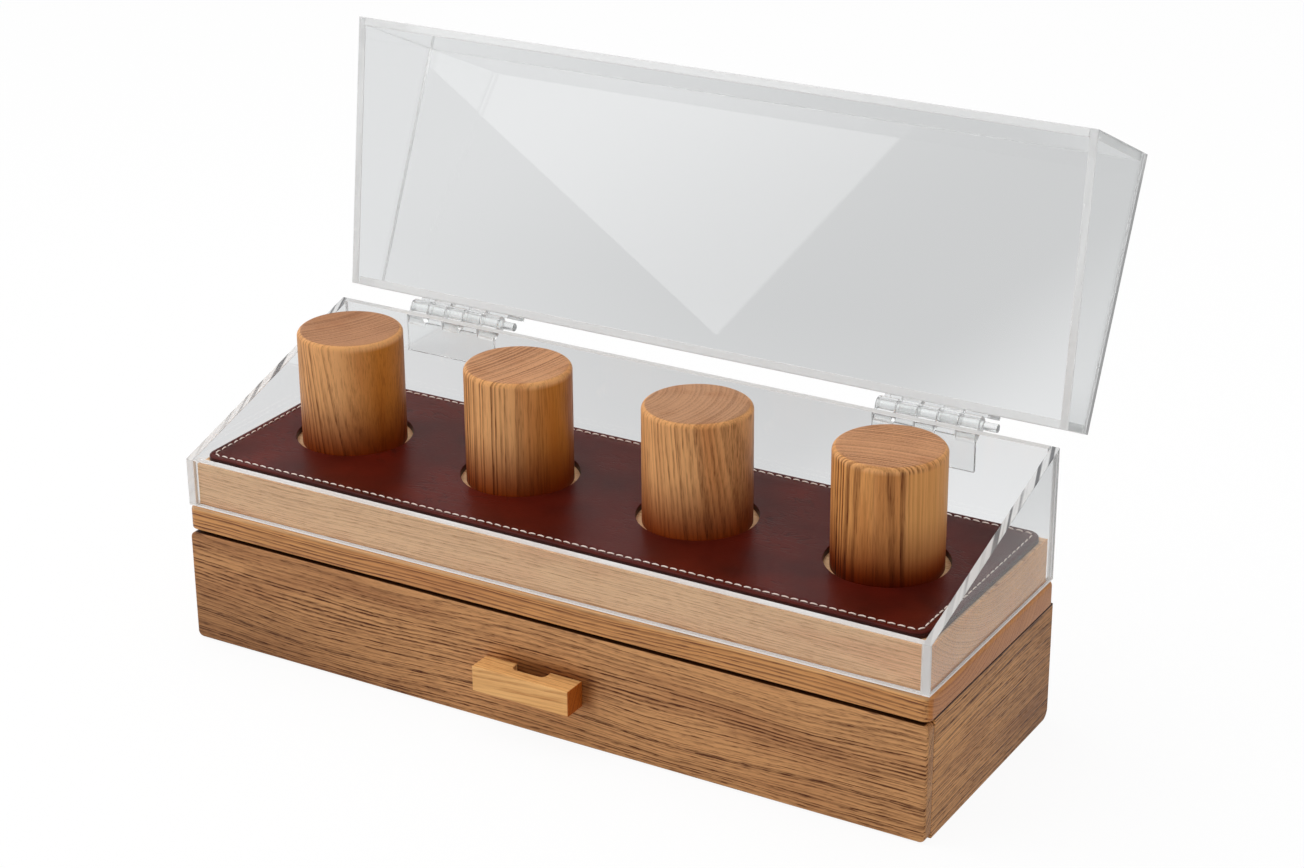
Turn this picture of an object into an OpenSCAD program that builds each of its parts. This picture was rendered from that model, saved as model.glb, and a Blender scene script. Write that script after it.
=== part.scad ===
// Watch display stand: a wooden case with a drawer, a padded plinth with four
// posts, and a clear case whose lid is hinged behind its back wall.
// +Z is up and the drawer opens towards -Y. The origin is the middle of the underside.

/* [Case] */
// Length of the case, side to side
case_length = 386; // [330:1:460]
// Depth of the case, from the drawer's front face to the back
case_depth = 129; // [115:1:160]
// Height of the case sides, up to the top board
case_height = 57.5; // [48:0.5:80]
// Thickness of the side and back panels
panel_thickness = 9; // [6:0.5:12]
// Thickness of the bottom panel
bottom_thickness = 5; // [3:0.5:8]
// Radius of the side panels' lower back corner
side_corner_radius = 5; // [2:0.5:8]

/* [Drawer] */
// Thickness of the drawer front
front_thickness = 6; // [4:0.5:10]
// Radius of the drawer front's corners, seen from the front
front_corner_radius = 3; // [1.5:0.5:6]
// Radius along the drawer front's edges
front_edge_radius = 1; // [0.4:0.1:1.4]
// Gap between the drawer front and the top board
front_top_gap = 1.6; // [0.5:0.1:4]
// Gap between the drawer front and what the stand rests on
front_bottom_gap = 0.5; // [0.3:0.1:3]
// Gap between the drawer front and the case behind it
front_back_gap = 0.3; // [0.2:0.1:1.5]
// Thickness of the drawer's walls
drawer_wall = 8; // [5:0.5:10]
// Gap on each side of the drawer
drawer_side_gap = 0.8; // [0.3:0.1:2]
// Running gap under the drawer
drawer_bottom_gap = 0.3; // [0.2:0.1:1]
// Space above the drawer's walls
drawer_top_gap = 7; // [2:0.5:14]
// Space behind the drawer when it is shut
drawer_back_gap = 5.5; // [2:0.5:15]
// Thickness of the drawer's floor
drawer_floor = 3; // [2:0.5:6]
// Thickness of the drawer's lining
lining_thickness = 1.5; // [0.8:0.1:3]
// Gap round the lining
lining_gap = 0.3; // [0.2:0.1:2]

/* [Pull] */
// Length of the pull
pull_length = 50.6; // [42:0.2:90]
// How far the pull stands out
pull_depth = 12; // [10:0.5:20]
// Height of the pull
pull_height = 12.2; // [9:0.2:20]
// Height of the pull's middle above the underside of the case
pull_middle = 27; // [16:0.5:36]
// Length of the finger slot
slot_length = 17.5; // [12:0.5:24]
// Depth of the finger slot, from the drawer front
slot_depth = 5.5; // [4.5:0.1:7]
// Radius of the finger slot's corners
slot_radius = 3; // [1:0.5:4]
// Distance between the pull's two screws
pull_screw_spacing = 34; // [31:0.5:36]
// Diameter of the pull's screws
pull_screw_diameter = 3.5; // [2.5:0.1:4]
// Height of their heads
pull_screw_head_height = 2; // [1.4:0.1:2.6]
// Length of screw inside the pull
pull_screw_bite = 8; // [4:0.5:9]

/* [Top board] */
// Thickness of the top board
board_thickness = 12; // [9:0.5:18]
// How far the top board stands out past the case sides
board_overhang = 0.3; // [0:0.1:6]
// Radius of the top board's corners, seen from above
board_corner_radius = 4; // [3:0.5:8]
// Radius along the top board's upper edges
board_edge_radius = 2.4; // [1:0.1:3]
// Radius along the top board's lower edges
board_lower_edge_radius = 1; // [0.4:0.1:2]

/* [Plinth and pad] */
// Height of the plinth
plinth_height = 21.2; // [18:0.2:40]
// Gap between the plinth and the clear walls
plinth_gap = 0.5; // [0.2:0.1:2]
// Thickness of the leather pad
pad_thickness = 3; // [2:0.2:6]
// How far the pad's edge lies inside the plinth's
pad_inset = 0.5; // [0:0.1:4]
// Radius of the pad's corners
pad_corner_radius = 6; // [3:0.5:12]
// Radius along the pad's upper edge
pad_edge_radius = 1.2; // [0.6:0.1:1.6]
// Gap between a post and the edge of the pad's hole
pad_hole_gap = 2.75; // [1:0.25:5]

/* [Posts] */
// Diameter of the posts
post_diameter = 50; // [40:0.5:58]
// How far the posts rise above the pad
post_rise = 53.5; // [35:0.5:58]
// From the pad's end to the middle of the end post
post_end_margin = 46.35; // [42:0.05:52]
// Radius of the posts' top rim
post_rim_radius = 2.5; // [1:0.5:5]

/* [Clear case] */
// Thickness of the clear sheets
sheet = 4; // [3:0.5:6]
// How far the clear walls stand back from the top board's front and ends
wall_setback = 0.5; // [0.2:0.1:6]
// How far the back wall stands back from the top board's back
wall_back_setback = 1; // [0.2:0.1:6]
// Height of the front wall
front_wall_height = 23.8; // [16:0.2:40]
// Height of the back wall
back_wall_height = 63.8; // [50:0.2:70]

/* [Lid] */
// Height of the shut lid's top above the top board
lid_height = 90.9; // [88:0.1:120]
// Gap between the shut lid and the walls
parting_gap = 0.4; // [0.3:0.1:1]
// How far the lid turns from shut to its open stop
lid_angle = 114.6; // [95:0.2:125]

/* [Hinges] */
// From the end of the clear case to the middle of the hinge
hinge_inset = 65.3; // [45:0.1:90]
// Length of a hinge
hinge_length = 51; // [36:1:60]
// Reach of a leaf from the pin's axis
leaf_reach = 20.5; // [14:0.5:23]
// Thickness of a leaf
leaf_thickness = 1.8; // [1:0.1:2.4]
// Diameter of the barrel
barrel_diameter = 8; // [7:0.5:10]
// Gap between the barrel and the back wall
barrel_gap = 1.4; // [0.8:0.1:3]
// Gap between the barrel and the flat of a leaf
leaf_gap = 0.5; // [0.2:0.1:1.5]
// Gap between neighbouring knuckles
knuckle_gap = 0.3; // [0.2:0.1:0.8]
// Diameter of the pin
pin_diameter = 4; // [2.5:0.1:5]
// Running clearance all round the pin
pin_clearance = 0.05; // [0.02:0.01:0.1]
// How far the pin stands out of the barrel
pin_overhang = 8; // [0:0.5:12]

/* [Screws] */
// Distance between the plinth's screws front to back
screw_spacing_y = 80; // [64:1:88]
// Diameter of the plinth's and the posts' screws
screw_diameter = 4; // [3:0.1:5]
// Height of their heads
screw_head_height = 2.4; // [1.6:0.1:3]
// Length of screw inside the plinth
screw_bite = 13; // [8:0.5:15]
// Length of screw inside a post
post_screw_bite = 20; // [12:1:30]
// Gap all round a screw
screw_gap = 0.1; // [0.05:0.05:0.3]

/* [Hidden] */
$fn = 64;
eps = 0.01;
// How far a cut runs past the face that it opens
past = 1;
// A screw head's width, in screw diameters
head_share = 2;
posts = 4;

// Case
case_half = case_length / 2;
case_front_y = -case_depth / 2;
case_back_y = case_depth / 2;
carcass_front_y = case_front_y + front_thickness + front_back_gap;
inner_half = case_half - panel_thickness;
inner_back_y = case_back_y - panel_thickness;

// Drawer
front_back_y = case_front_y + front_thickness;
front_height = case_height - front_top_gap - front_bottom_gap;
drawer_half = inner_half - drawer_side_gap;
drawer_base_z = bottom_thickness + drawer_bottom_gap;
drawer_rim_z = case_height - drawer_top_gap;
drawer_wall_height = drawer_rim_z - drawer_base_z;
drawer_end_y = inner_back_y - drawer_back_gap;
drawer_inner_half = drawer_half - drawer_wall;
drawer_inner_front_y = front_back_y + drawer_wall;
drawer_inner_back_y = drawer_end_y - drawer_wall;
pull_screw_head = head_share * pull_screw_diameter;

// Top board
board_length = case_length + 2 * board_overhang;
board_base_z = case_height;
board_top_z = board_base_z + board_thickness;

// Clear case
wall_half = board_length / 2 - wall_setback;
wall_inner_half = wall_half - sheet;
wall_front_y = case_front_y + wall_setback;
wall_back_y = case_back_y - wall_back_setback;
front_wall_top_z = board_top_z + front_wall_height;
back_wall_top_z = board_top_z + back_wall_height;
lid_top_z = board_top_z + lid_height;
lid_inner_z = lid_top_z - sheet;

// Plinth and pad
plinth_half = wall_inner_half - plinth_gap;
plinth_front_y = wall_front_y + sheet + plinth_gap;
plinth_back_y = wall_back_y - sheet - plinth_gap;
plinth_middle_y = (plinth_front_y + plinth_back_y) / 2;
plinth_top_z = board_top_z + plinth_height;
pad_length = 2 * (plinth_half - pad_inset);
pad_depth = plinth_back_y - plinth_front_y - 2 * pad_inset;
pad_top_z = plinth_top_z + pad_thickness;
screw_head = head_share * screw_diameter;

// Posts
post_y = 0;
post_height = pad_thickness + post_rise;
post_spacing = (pad_length - 2 * post_end_margin) / (posts - 1);
screw_spacing_x = (posts / 2) * post_spacing;

// Hinges
axis_y = wall_back_y + barrel_diameter / 2 + barrel_gap;
axis_z = back_wall_top_z + parting_gap / 2;
axis_offset = axis_y - wall_back_y;
barrel_radius = barrel_diameter / 2;
leaf_start = barrel_radius + leaf_gap;
hinge_spacing = 2 * (wall_half - hinge_inset);
knuckles = 5;
knuckle_length = (hinge_length - (knuckles - 1) * knuckle_gap) / knuckles;

// Colours
brown_oak = [0.52, 0.38, 0.26];
warm_oak = [0.72, 0.50, 0.30];
pale_oak = [0.79, 0.64, 0.48];
honey_oak = [0.74, 0.52, 0.32];
light_oak = [0.86, 0.67, 0.44];
leather = [0.37, 0.22, 0.20];
birch = [0.80, 0.70, 0.55];
lining_cloth = [0.30, 0.20, 0.17];
steel = [0.62, 0.62, 0.64];
clear_sheet = [0.85, 0.88, 0.90, 0.35];

// Middle of post number i, counted from the left
function post_x(i) = (i - (posts + 1) / 2) * post_spacing;

// Box given by its two opposite corners
module block(low, high) {
    translate(low) cube(high - low);
}

// Section of a slab: width along x, thickness up, rounded where it has a radius
module slab_section(width, thick, top, bottom) {
    translate([-width / 2, bottom]) square([width, thick - top - bottom]);
    translate([-width / 2 + bottom, 0]) square([width - 2 * bottom, thick / 2]);
    translate([-width / 2 + top, thick / 2]) square([width - 2 * top, thick / 2]);
    for (side = [-1, 1]) {
        translate([side * (width / 2 - top), thick - top]) circle(top);
        if (bottom > 0) {
            translate([side * (width / 2 - bottom), bottom]) circle(bottom);
        }
    }
}

// Slab with round corners and rounded edges, its middle on the z axis, standing on z = 0
module rounded_slab(length, depth, thick, corner, top, bottom) {
    union() {
        rotate([90, 0, 90])
            linear_extrude(length - 2 * corner, center = true)
                slab_section(depth, thick, top, bottom);
        rotate([90, 0, 0])
            linear_extrude(depth - 2 * corner, center = true)
                slab_section(length, thick, top, bottom);
        for (x = [-1, 1], y = [-1, 1]) {
            translate([x * (length / 2 - corner), y * (depth / 2 - corner), 0])
                rotate_extrude()
                    intersection() {
                        slab_section(2 * corner, thick, top, bottom);
                        square([corner, thick]);
                    }
        }
    }
}

// Countersunk screw along +z, head's face at z = 0
module screw(diameter, head, head_height, length) {
    rotate_extrude()
        polygon([
            [0, 0],
            [head / 2, 0],
            [diameter / 2, head_height],
            [diameter / 2, length - diameter],
            [0, length]
        ]);
}

// Room for such a screw, with a gap all round and open below its head
module screw_room(diameter, head, head_height, length, gap) {
    translate([0, 0, -eps])
        cylinder(d1 = head + 2 * gap, d2 = diameter + 2 * gap, h = head_height + eps);
    cylinder(d = diameter + 2 * gap, h = length + gap);
}

// Case: side panel, with its lower back corner rounded
module case_side(side) {
    color(brown_oak)
        translate([side > 0 ? inner_half : -case_half, 0, 0])
            rotate([90, 0, 90])
                linear_extrude(panel_thickness)
                    union() {
                        translate([carcass_front_y, 0])
                            square([case_back_y - side_corner_radius - carcass_front_y, case_height]);
                        translate([inner_back_y, side_corner_radius])
                            square([panel_thickness, case_height - side_corner_radius]);
                        translate([case_back_y - side_corner_radius, side_corner_radius])
                            circle(side_corner_radius);
                    }
}

module case_side_left() {
    case_side(-1);
}

module case_side_right() {
    case_side(1);
}

module case_back() {
    color(brown_oak)
        block([-inner_half, inner_back_y, 0], [inner_half, case_back_y, case_height]);
}

module case_bottom() {
    color(birch)
        block([-inner_half, carcass_front_y, 0], [inner_half, inner_back_y, bottom_thickness]);
}

// Places of the four plinth screws
module at_plinth_screws() {
    for (x = [-1, 1], y = [-1, 1]) {
        translate([x * screw_spacing_x / 2, plinth_middle_y + y * screw_spacing_y / 2, board_base_z])
            children();
    }
}

module top_board() {
    color(warm_oak)
        difference() {
            translate([0, 0, board_base_z])
                rounded_slab(board_length, case_depth, board_thickness,
                    board_corner_radius, board_edge_radius, board_lower_edge_radius);
            at_plinth_screws()
                screw_room(screw_diameter, screw_head, screw_head_height, board_thickness + past, screw_gap);
        }
}

module plinth() {
    color(pale_oak)
        difference() {
            block([-plinth_half, plinth_front_y, board_top_z], [plinth_half, plinth_back_y, plinth_top_z]);
            at_plinth_screws()
                cylinder(d = screw_diameter + 2 * screw_gap, h = board_thickness + screw_bite + screw_gap);
            for (i = [1:posts]) {
                at_post_screw(i)
                    screw_room(screw_diameter, screw_head, screw_head_height, plinth_height + past, screw_gap);
            }
        }
}

module plinth_screws() {
    color(steel)
        at_plinth_screws()
            screw(screw_diameter, screw_head, screw_head_height, board_thickness + screw_bite);
}

module leather_pad() {
    color(leather)
        difference() {
            translate([0, plinth_middle_y, plinth_top_z])
                rounded_slab(pad_length, pad_depth, pad_thickness, pad_corner_radius, pad_edge_radius, 0);
            for (i = [1:posts]) {
                translate([post_x(i), post_y, plinth_top_z - past])
                    cylinder(d = post_diameter + 2 * pad_hole_gap, h = pad_thickness + 2 * past);
            }
        }
}

// Drawer
module at_pull_screws() {
    for (x = [-1, 1]) {
        translate([x * pull_screw_spacing / 2, drawer_inner_front_y, pull_middle])
            rotate([90, 0, 0])
                children();
    }
}

module pull_screw_rooms() {
    at_pull_screws()
        screw_room(pull_screw_diameter, pull_screw_head, pull_screw_head_height,
            drawer_wall + front_thickness + pull_screw_bite, screw_gap);
}

module drawer_front() {
    color(brown_oak)
        difference() {
            translate([0, front_back_y, front_bottom_gap + front_height / 2])
                rotate([90, 0, 0])
                    rounded_slab(case_length, front_height, front_thickness,
                        front_corner_radius, front_edge_radius, 0);
            pull_screw_rooms();
        }
}

module drawer_box_front() {
    color(birch)
        difference() {
            block([-drawer_inner_half, front_back_y, drawer_base_z],
                [drawer_inner_half, drawer_inner_front_y, drawer_rim_z]);
            pull_screw_rooms();
        }
}

module drawer_side(side) {
    color(birch)
        translate([side > 0 ? drawer_inner_half : -drawer_half, front_back_y, drawer_base_z])
            cube([drawer_wall, drawer_end_y - front_back_y, drawer_wall_height]);
}

module drawer_side_left() {
    drawer_side(-1);
}

module drawer_side_right() {
    drawer_side(1);
}

module drawer_back() {
    color(birch)
        block([-drawer_inner_half, drawer_inner_back_y, drawer_base_z],
            [drawer_inner_half, drawer_end_y, drawer_rim_z]);
}

module drawer_bottom() {
    color(birch)
        block([-drawer_inner_half, drawer_inner_front_y, drawer_base_z],
            [drawer_inner_half, drawer_inner_back_y, drawer_base_z + drawer_floor]);
}

module drawer_lining() {
    color(lining_cloth)
        block([-drawer_inner_half + lining_gap, drawer_inner_front_y + lining_gap,
                drawer_base_z + drawer_floor],
            [drawer_inner_half - lining_gap, drawer_inner_back_y - lining_gap,
                drawer_base_z + drawer_floor + lining_thickness]);
}

// Bar with a slot behind its middle for the fingertips
module drawer_pull() {
    color(light_oak)
        difference() {
            translate([0, case_front_y - pull_depth / 2, pull_middle - pull_height / 2])
                block([-pull_length / 2, -pull_depth / 2, 0],
                    [pull_length / 2, pull_depth / 2, pull_height]);
            translate([0, case_front_y, pull_middle])
                linear_extrude(pull_height + 2 * past, center = true)
                    union() {
                        translate([-slot_length / 2, -slot_depth + slot_radius])
                            square([slot_length, slot_depth]);
                        translate([-slot_length / 2 + slot_radius, -slot_depth])
                            square([slot_length - 2 * slot_radius, slot_depth + past]);
                        for (side = [-1, 1]) {
                            translate([side * (slot_length / 2 - slot_radius), -slot_depth + slot_radius])
                                circle(slot_radius);
                        }
                    }
            pull_screw_rooms();
        }
}

module pull_screws() {
    color(steel)
        at_pull_screws()
            screw(pull_screw_diameter, pull_screw_head, pull_screw_head_height,
                drawer_wall + front_thickness + pull_screw_bite);
}

// Place of the screw that holds post number i
module at_post_screw(i) {
    translate([post_x(i), post_y, board_top_z]) children();
}

// Posts
module watch_post(i) {
    color(honey_oak)
        difference() {
            translate([post_x(i), post_y, plinth_top_z])
                rotate_extrude()
                    union() {
                        square([post_diameter / 2, post_height - post_rim_radius]);
                        square([post_diameter / 2 - post_rim_radius, post_height]);
                        translate([post_diameter / 2 - post_rim_radius, post_height - post_rim_radius])
                            circle(post_rim_radius);
                    }
            at_post_screw(i)
                cylinder(d = screw_diameter + 2 * screw_gap, h = plinth_height + post_screw_bite + screw_gap);
        }
}

module watch_post_1() {
    watch_post(1);
}

module watch_post_2() {
    watch_post(2);
}

module watch_post_3() {
    watch_post(3);
}

module watch_post_4() {
    watch_post(4);
}

module post_screws() {
    color(steel)
        for (i = [1:posts]) {
            at_post_screw(i)
                screw(screw_diameter, screw_head, screw_head_height, plinth_height + post_screw_bite);
        }
}

// Clear case
module acrylic_front_wall() {
    color(clear_sheet)
        block([-wall_inner_half, wall_front_y, board_top_z],
            [wall_inner_half, wall_front_y + sheet, front_wall_top_z]);
}

module acrylic_back_wall() {
    color(clear_sheet)
        block([-wall_inner_half, wall_back_y - sheet, board_top_z],
            [wall_inner_half, wall_back_y, back_wall_top_z]);
}

module acrylic_side(side) {
    color(clear_sheet)
        translate([side > 0 ? wall_inner_half : -wall_half, 0, 0])
            rotate([90, 0, 90])
                linear_extrude(sheet)
                    polygon([
                        [wall_front_y, board_top_z],
                        [wall_back_y, board_top_z],
                        [wall_back_y, back_wall_top_z],
                        [wall_front_y, front_wall_top_z]
                    ]);
}

module acrylic_side_left() {
    acrylic_side(-1);
}

module acrylic_side_right() {
    acrylic_side(1);
}

// Turns what is drawn shut to the lid's open stop
module opened() {
    translate([0, axis_y, axis_z])
        rotate([-lid_angle, 0, 0])
            translate([0, -axis_y, -axis_z])
                children();
}

module lid_top() {
    color(clear_sheet)
        opened()
            block([-wall_half, wall_front_y, lid_inner_z], [wall_half, wall_back_y, lid_top_z]);
}

module lid_front() {
    color(clear_sheet)
        opened()
            block([-wall_inner_half, wall_front_y, front_wall_top_z + parting_gap],
                [wall_inner_half, wall_front_y + sheet, lid_inner_z]);
}

module lid_back_strip() {
    color(clear_sheet)
        opened()
            block([-wall_inner_half, wall_back_y - sheet, back_wall_top_z + parting_gap],
                [wall_inner_half, wall_back_y, lid_inner_z]);
}

module lid_side(side) {
    color(clear_sheet)
        opened()
            translate([side > 0 ? wall_inner_half : -wall_half, 0, 0])
                rotate([90, 0, 90])
                    linear_extrude(sheet)
                        polygon([
                            [wall_front_y, front_wall_top_z + parting_gap],
                            [wall_back_y, back_wall_top_z + parting_gap],
                            [wall_back_y, lid_inner_z],
                            [wall_front_y, lid_inner_z]
                        ]);
}

module lid_side_left() {
    lid_side(-1);
}

module lid_side_right() {
    lid_side(1);
}

// Hinges: drawn round the pin's axis, up is -1 for the lower leaf and 1 for the upper
module knuckle_section(up) {
    circle(barrel_radius);
    polygon([
        [-axis_offset, up * (leaf_start + barrel_radius)],
        [-axis_offset, up * parting_gap],
        [0, up * parting_gap],
        [0, up * barrel_radius]
    ]);
}

module hinge_leaf(up) {
    color(clear_sheet)
        difference() {
            union() {
                translate([-hinge_length / 2, -axis_offset, up > 0 ? leaf_start : -leaf_reach])
                    cube([hinge_length, leaf_thickness, leaf_reach - leaf_start]);
                for (k = [up > 0 ? 1 : 0 : 2 : knuckles - 1]) {
                    translate([-hinge_length / 2 + k * (knuckle_length + knuckle_gap), 0, 0])
                        rotate([90, 0, 90])
                            linear_extrude(knuckle_length)
                                knuckle_section(up);
                }
            }
            rotate([0, 90, 0])
                cylinder(d = pin_diameter + 2 * pin_clearance, h = hinge_length + 2 * past, center = true);
        }
}

module at_hinge(side) {
    translate([side * hinge_spacing / 2, axis_y, axis_z]) children();
}

module hinge_leaf_lower_left() {
    at_hinge(-1) hinge_leaf(-1);
}

module hinge_leaf_lower_right() {
    at_hinge(1) hinge_leaf(-1);
}

module hinge_leaf_upper_left() {
    opened() at_hinge(-1) hinge_leaf(1);
}

module hinge_leaf_upper_right() {
    opened() at_hinge(1) hinge_leaf(1);
}

module hinge_pin(side) {
    color(clear_sheet)
        at_hinge(side)
            translate([-hinge_length / 2, 0, 0])
                rotate([0, 90, 0])
                    cylinder(d = pin_diameter, h = hinge_length + pin_overhang);
}

module hinge_pin_left() {
    hinge_pin(-1);
}

module hinge_pin_right() {
    hinge_pin(1);
}

case_side_left();
case_side_right();
case_back();
case_bottom();
top_board();
plinth();
plinth_screws();
leather_pad();
drawer_front();
drawer_box_front();
drawer_side_left();
drawer_side_right();
drawer_back();
drawer_bottom();
drawer_lining();
drawer_pull();
pull_screws();
watch_post_1();
watch_post_2();
watch_post_3();
watch_post_4();
post_screws();
acrylic_front_wall();
acrylic_back_wall();
acrylic_side_left();
acrylic_side_right();
lid_top();
lid_front();
lid_back_strip();
lid_side_left();
lid_side_right();
hinge_leaf_lower_left();
hinge_leaf_lower_right();
hinge_leaf_upper_left();
hinge_leaf_upper_right();
hinge_pin_left();
hinge_pin_right();
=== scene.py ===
# %% [markdown]
# A watch display stand: a wooden case with one wide drawer, a plinth with four
# round posts rising through a stitched leather pad, and a clear acrylic cover
# whose lid is hinged behind the back wall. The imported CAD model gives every
# place and size in metres. This lesson dresses it: it rebuilds what shows with
# rounded edges and gives each piece a wood, leather or acrylic made from nodes.

import math
from functools import partial

import bmesh
import bpy
from mathutils import Matrix, Vector, geometry, noise


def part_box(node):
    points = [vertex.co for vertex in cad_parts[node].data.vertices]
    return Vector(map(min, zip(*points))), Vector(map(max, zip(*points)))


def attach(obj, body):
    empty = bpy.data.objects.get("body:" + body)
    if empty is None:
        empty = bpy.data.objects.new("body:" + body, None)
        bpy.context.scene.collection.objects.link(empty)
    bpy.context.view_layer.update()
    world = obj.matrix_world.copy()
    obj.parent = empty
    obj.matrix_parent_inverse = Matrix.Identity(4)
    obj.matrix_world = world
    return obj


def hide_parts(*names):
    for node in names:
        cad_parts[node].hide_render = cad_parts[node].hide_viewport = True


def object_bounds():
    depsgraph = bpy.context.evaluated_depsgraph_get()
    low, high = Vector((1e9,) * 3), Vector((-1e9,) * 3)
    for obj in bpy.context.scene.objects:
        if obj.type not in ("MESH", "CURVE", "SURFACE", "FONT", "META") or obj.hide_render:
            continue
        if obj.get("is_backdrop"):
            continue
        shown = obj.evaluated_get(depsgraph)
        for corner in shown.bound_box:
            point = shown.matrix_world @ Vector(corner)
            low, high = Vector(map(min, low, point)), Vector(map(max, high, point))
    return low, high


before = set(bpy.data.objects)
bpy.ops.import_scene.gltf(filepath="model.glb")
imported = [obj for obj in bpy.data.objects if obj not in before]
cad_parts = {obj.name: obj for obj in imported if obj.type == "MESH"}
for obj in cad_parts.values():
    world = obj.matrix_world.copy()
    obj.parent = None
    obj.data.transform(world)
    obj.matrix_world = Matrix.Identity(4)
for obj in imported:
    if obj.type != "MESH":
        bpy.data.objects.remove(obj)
cad_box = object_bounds()
MM = 0.001
print("CAD nodes:", len(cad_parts))

# %% [markdown]
# The camera stands to the right of the stand and above it, and looks down at
# its front. Its place, turn and lens were found by fitting the stand's corners
# to the photograph. A yaw, a pitch and a small roll are easier to read than a
# matrix, so the matrix is built from them here.

# %% Camera
CAMERA_PLACE = Vector((0.618005, -1.000645, 0.622286))
CAMERA_YAW = math.radians(30.704)
CAMERA_PITCH = math.radians(-23.027)
CAMERA_ROLL = math.radians(-0.428)
LENS = 78.178


def add_object(name, data):
    """An object in the scene that shows this data."""
    thing = bpy.data.objects.new(name, data)
    bpy.context.scene.collection.objects.link(thing)
    return thing


def add_camera():
    """A camera that looks along its yaw and pitch, then rolls about its own axis."""
    camera = add_object("camera", bpy.data.cameras.new("camera"))
    camera.data.lens = LENS
    camera.data.sensor_fit = "HORIZONTAL"
    turned = Matrix.Rotation(CAMERA_YAW, 4, "Z")
    tilted = Matrix.Rotation(math.pi / 2 + CAMERA_PITCH, 4, "X")
    rolled = Matrix.Rotation(CAMERA_ROLL, 4, "Z")
    camera.matrix_world = Matrix.Translation(CAMERA_PLACE) @ turned @ tilted @ rolled
    bpy.context.scene.camera = camera
    return camera


camera = add_camera()
print("camera looks along", [round(v, 3) for v in camera.matrix_world.col[2].xyz * -1])

# %% [markdown]
# Every material and tree below is made of the same few moves: add a node, set
# its inputs, link another node into it, reckon with the result. These helpers
# do them, so that the recipes stay short enough to read. A node given as a
# value stands for its first output.

# %% Helpers for node trees
WHITE = (1, 1, 1, 1)
KINDS = ("ShaderNode", "GeometryNode", "FunctionNode", "")


def add(kind, inputs=None, tree=None, **settings):
    """Adds a node to the tree that its inputs come from, or to the named one. A list links all it holds."""
    pairs = [(key, value) for key, given in (inputs or {}).items()
             for value in (given if isinstance(given, list) else [given])]
    pairs = [(key, value.outputs[0] if isinstance(value, bpy.types.Node) else value) for key, value in pairs]
    links = [(key, value) for key, value in pairs if isinstance(value, bpy.types.NodeSocket)]
    tree = tree or links[0][1].id_data
    node = tree.nodes.new(next(k + kind for k in KINDS if hasattr(bpy.types, k + kind)))
    for name, value in settings.items():
        setattr(node, name, value)
    for key, value in pairs:
        if (key, value) not in links:
            node.inputs[key].default_value = value
    for key, value in links:
        tree.links.new(value, node.inputs[key])
    return node


def calculate(operation, *values, clamp=False):
    """The result of a Math node."""
    return add("Math", dict(enumerate(values)), operation=operation, use_clamp=clamp).outputs[0]


plus, minus, times, over, times_plus = (
    partial(calculate, operation) for operation in ("ADD", "SUBTRACT", "MULTIPLY", "DIVIDE", "MULTIPLY_ADD"))


def between(value, low, high, to_low=0.0, to_high=1.0, smooth=False):
    """The value's place between low and high, held inside the range."""
    return add("MapRange", {
        "Value": value, "From Min": low, "From Max": high, "To Min": to_low, "To Max": to_high},
        interpolation_type="SMOOTHSTEP" if smooth else "LINEAR").outputs[0]


def dot(vector, towards):
    """The vector's reach along a direction."""
    return add("VectorMath", {0: vector, 1: towards}, operation="DOT_PRODUCT").outputs["Value"]


def ramp_along(vector, towards, start, end, low, high):
    """Goes smoothly from low to high as the vector's reach along a direction goes from start to end."""
    return between(dot(vector, towards), start, end, low, high, smooth=True)


def axes_of(vector):
    """The vector's three parts."""
    return add("SeparateXYZ", {0: vector}).outputs[:3]


def vector_of(tree, **parts):
    """A vector from the parts x, y and z, where those left out are 0."""
    return add("CombineXYZ", {"xyz".index(key): part for key, part in parts.items()}, tree)


def noise_at(place, scale, detail, **inputs):
    """Soft noise at a place. Its first output goes from 0 to 1."""
    return add("TexNoise", {"Vector": place, "Scale": scale, "Detail": detail, **inputs})


def noise_along(distance, scale, detail):
    """The same along a line."""
    return add("TexNoise", {"W": distance, "Scale": scale, "Detail": detail}, noise_dimensions="1D")


def mix_colour(share, low, high, blend="MIX"):
    """Goes from one colour to another by the share."""
    return add("Mix", {0: share, 6: low, 7: high}, data_type="RGBA", blend_type=blend).outputs[2]


def mix_shaders(share, low, high):
    """Goes from one shader to another by the share."""
    return add("MixShader", {0: share, 1: low, 2: high})


def seen_or_lighting(rays, seen, lighting):
    """One strength for what is seen, another for what lights a matte surface."""
    matte = calculate("MINIMUM", rays["Diffuse Depth"], 1.0)
    return add("Mix", {0: matte, 2: seen, 3: lighting})


def colour(red, green, blue):
    """A screen colour, 0 to 255, as the linear colour that a shader takes."""
    channels = []
    for value in (red, green, blue):
        share = value / 255
        channels.append(share / 12.92 if share <= 0.04045 else ((share + 0.055) / 1.055) ** 2.4)
    return (*channels, 1)


print("a middle grey as a shader takes it:", round(colour(128, 128, 128)[0], 3))

# %% [markdown]
# The photograph was taken in a white studio and cut out, so nothing behind the
# object shows. What the camera sees of the world is plain white. The same
# world lights the object far more softly: bright overhead, bright panels to
# the left and the right, and a darker room in front and behind, which gives
# the posts their shaded sides. The acrylic gathers light along its edges, so
# rays that pass through it find a white room, dimmer upwards and to the right.
# Light also bounces many times inside a sheet before it leaves, so the limit
# on bounces is raised.

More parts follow.
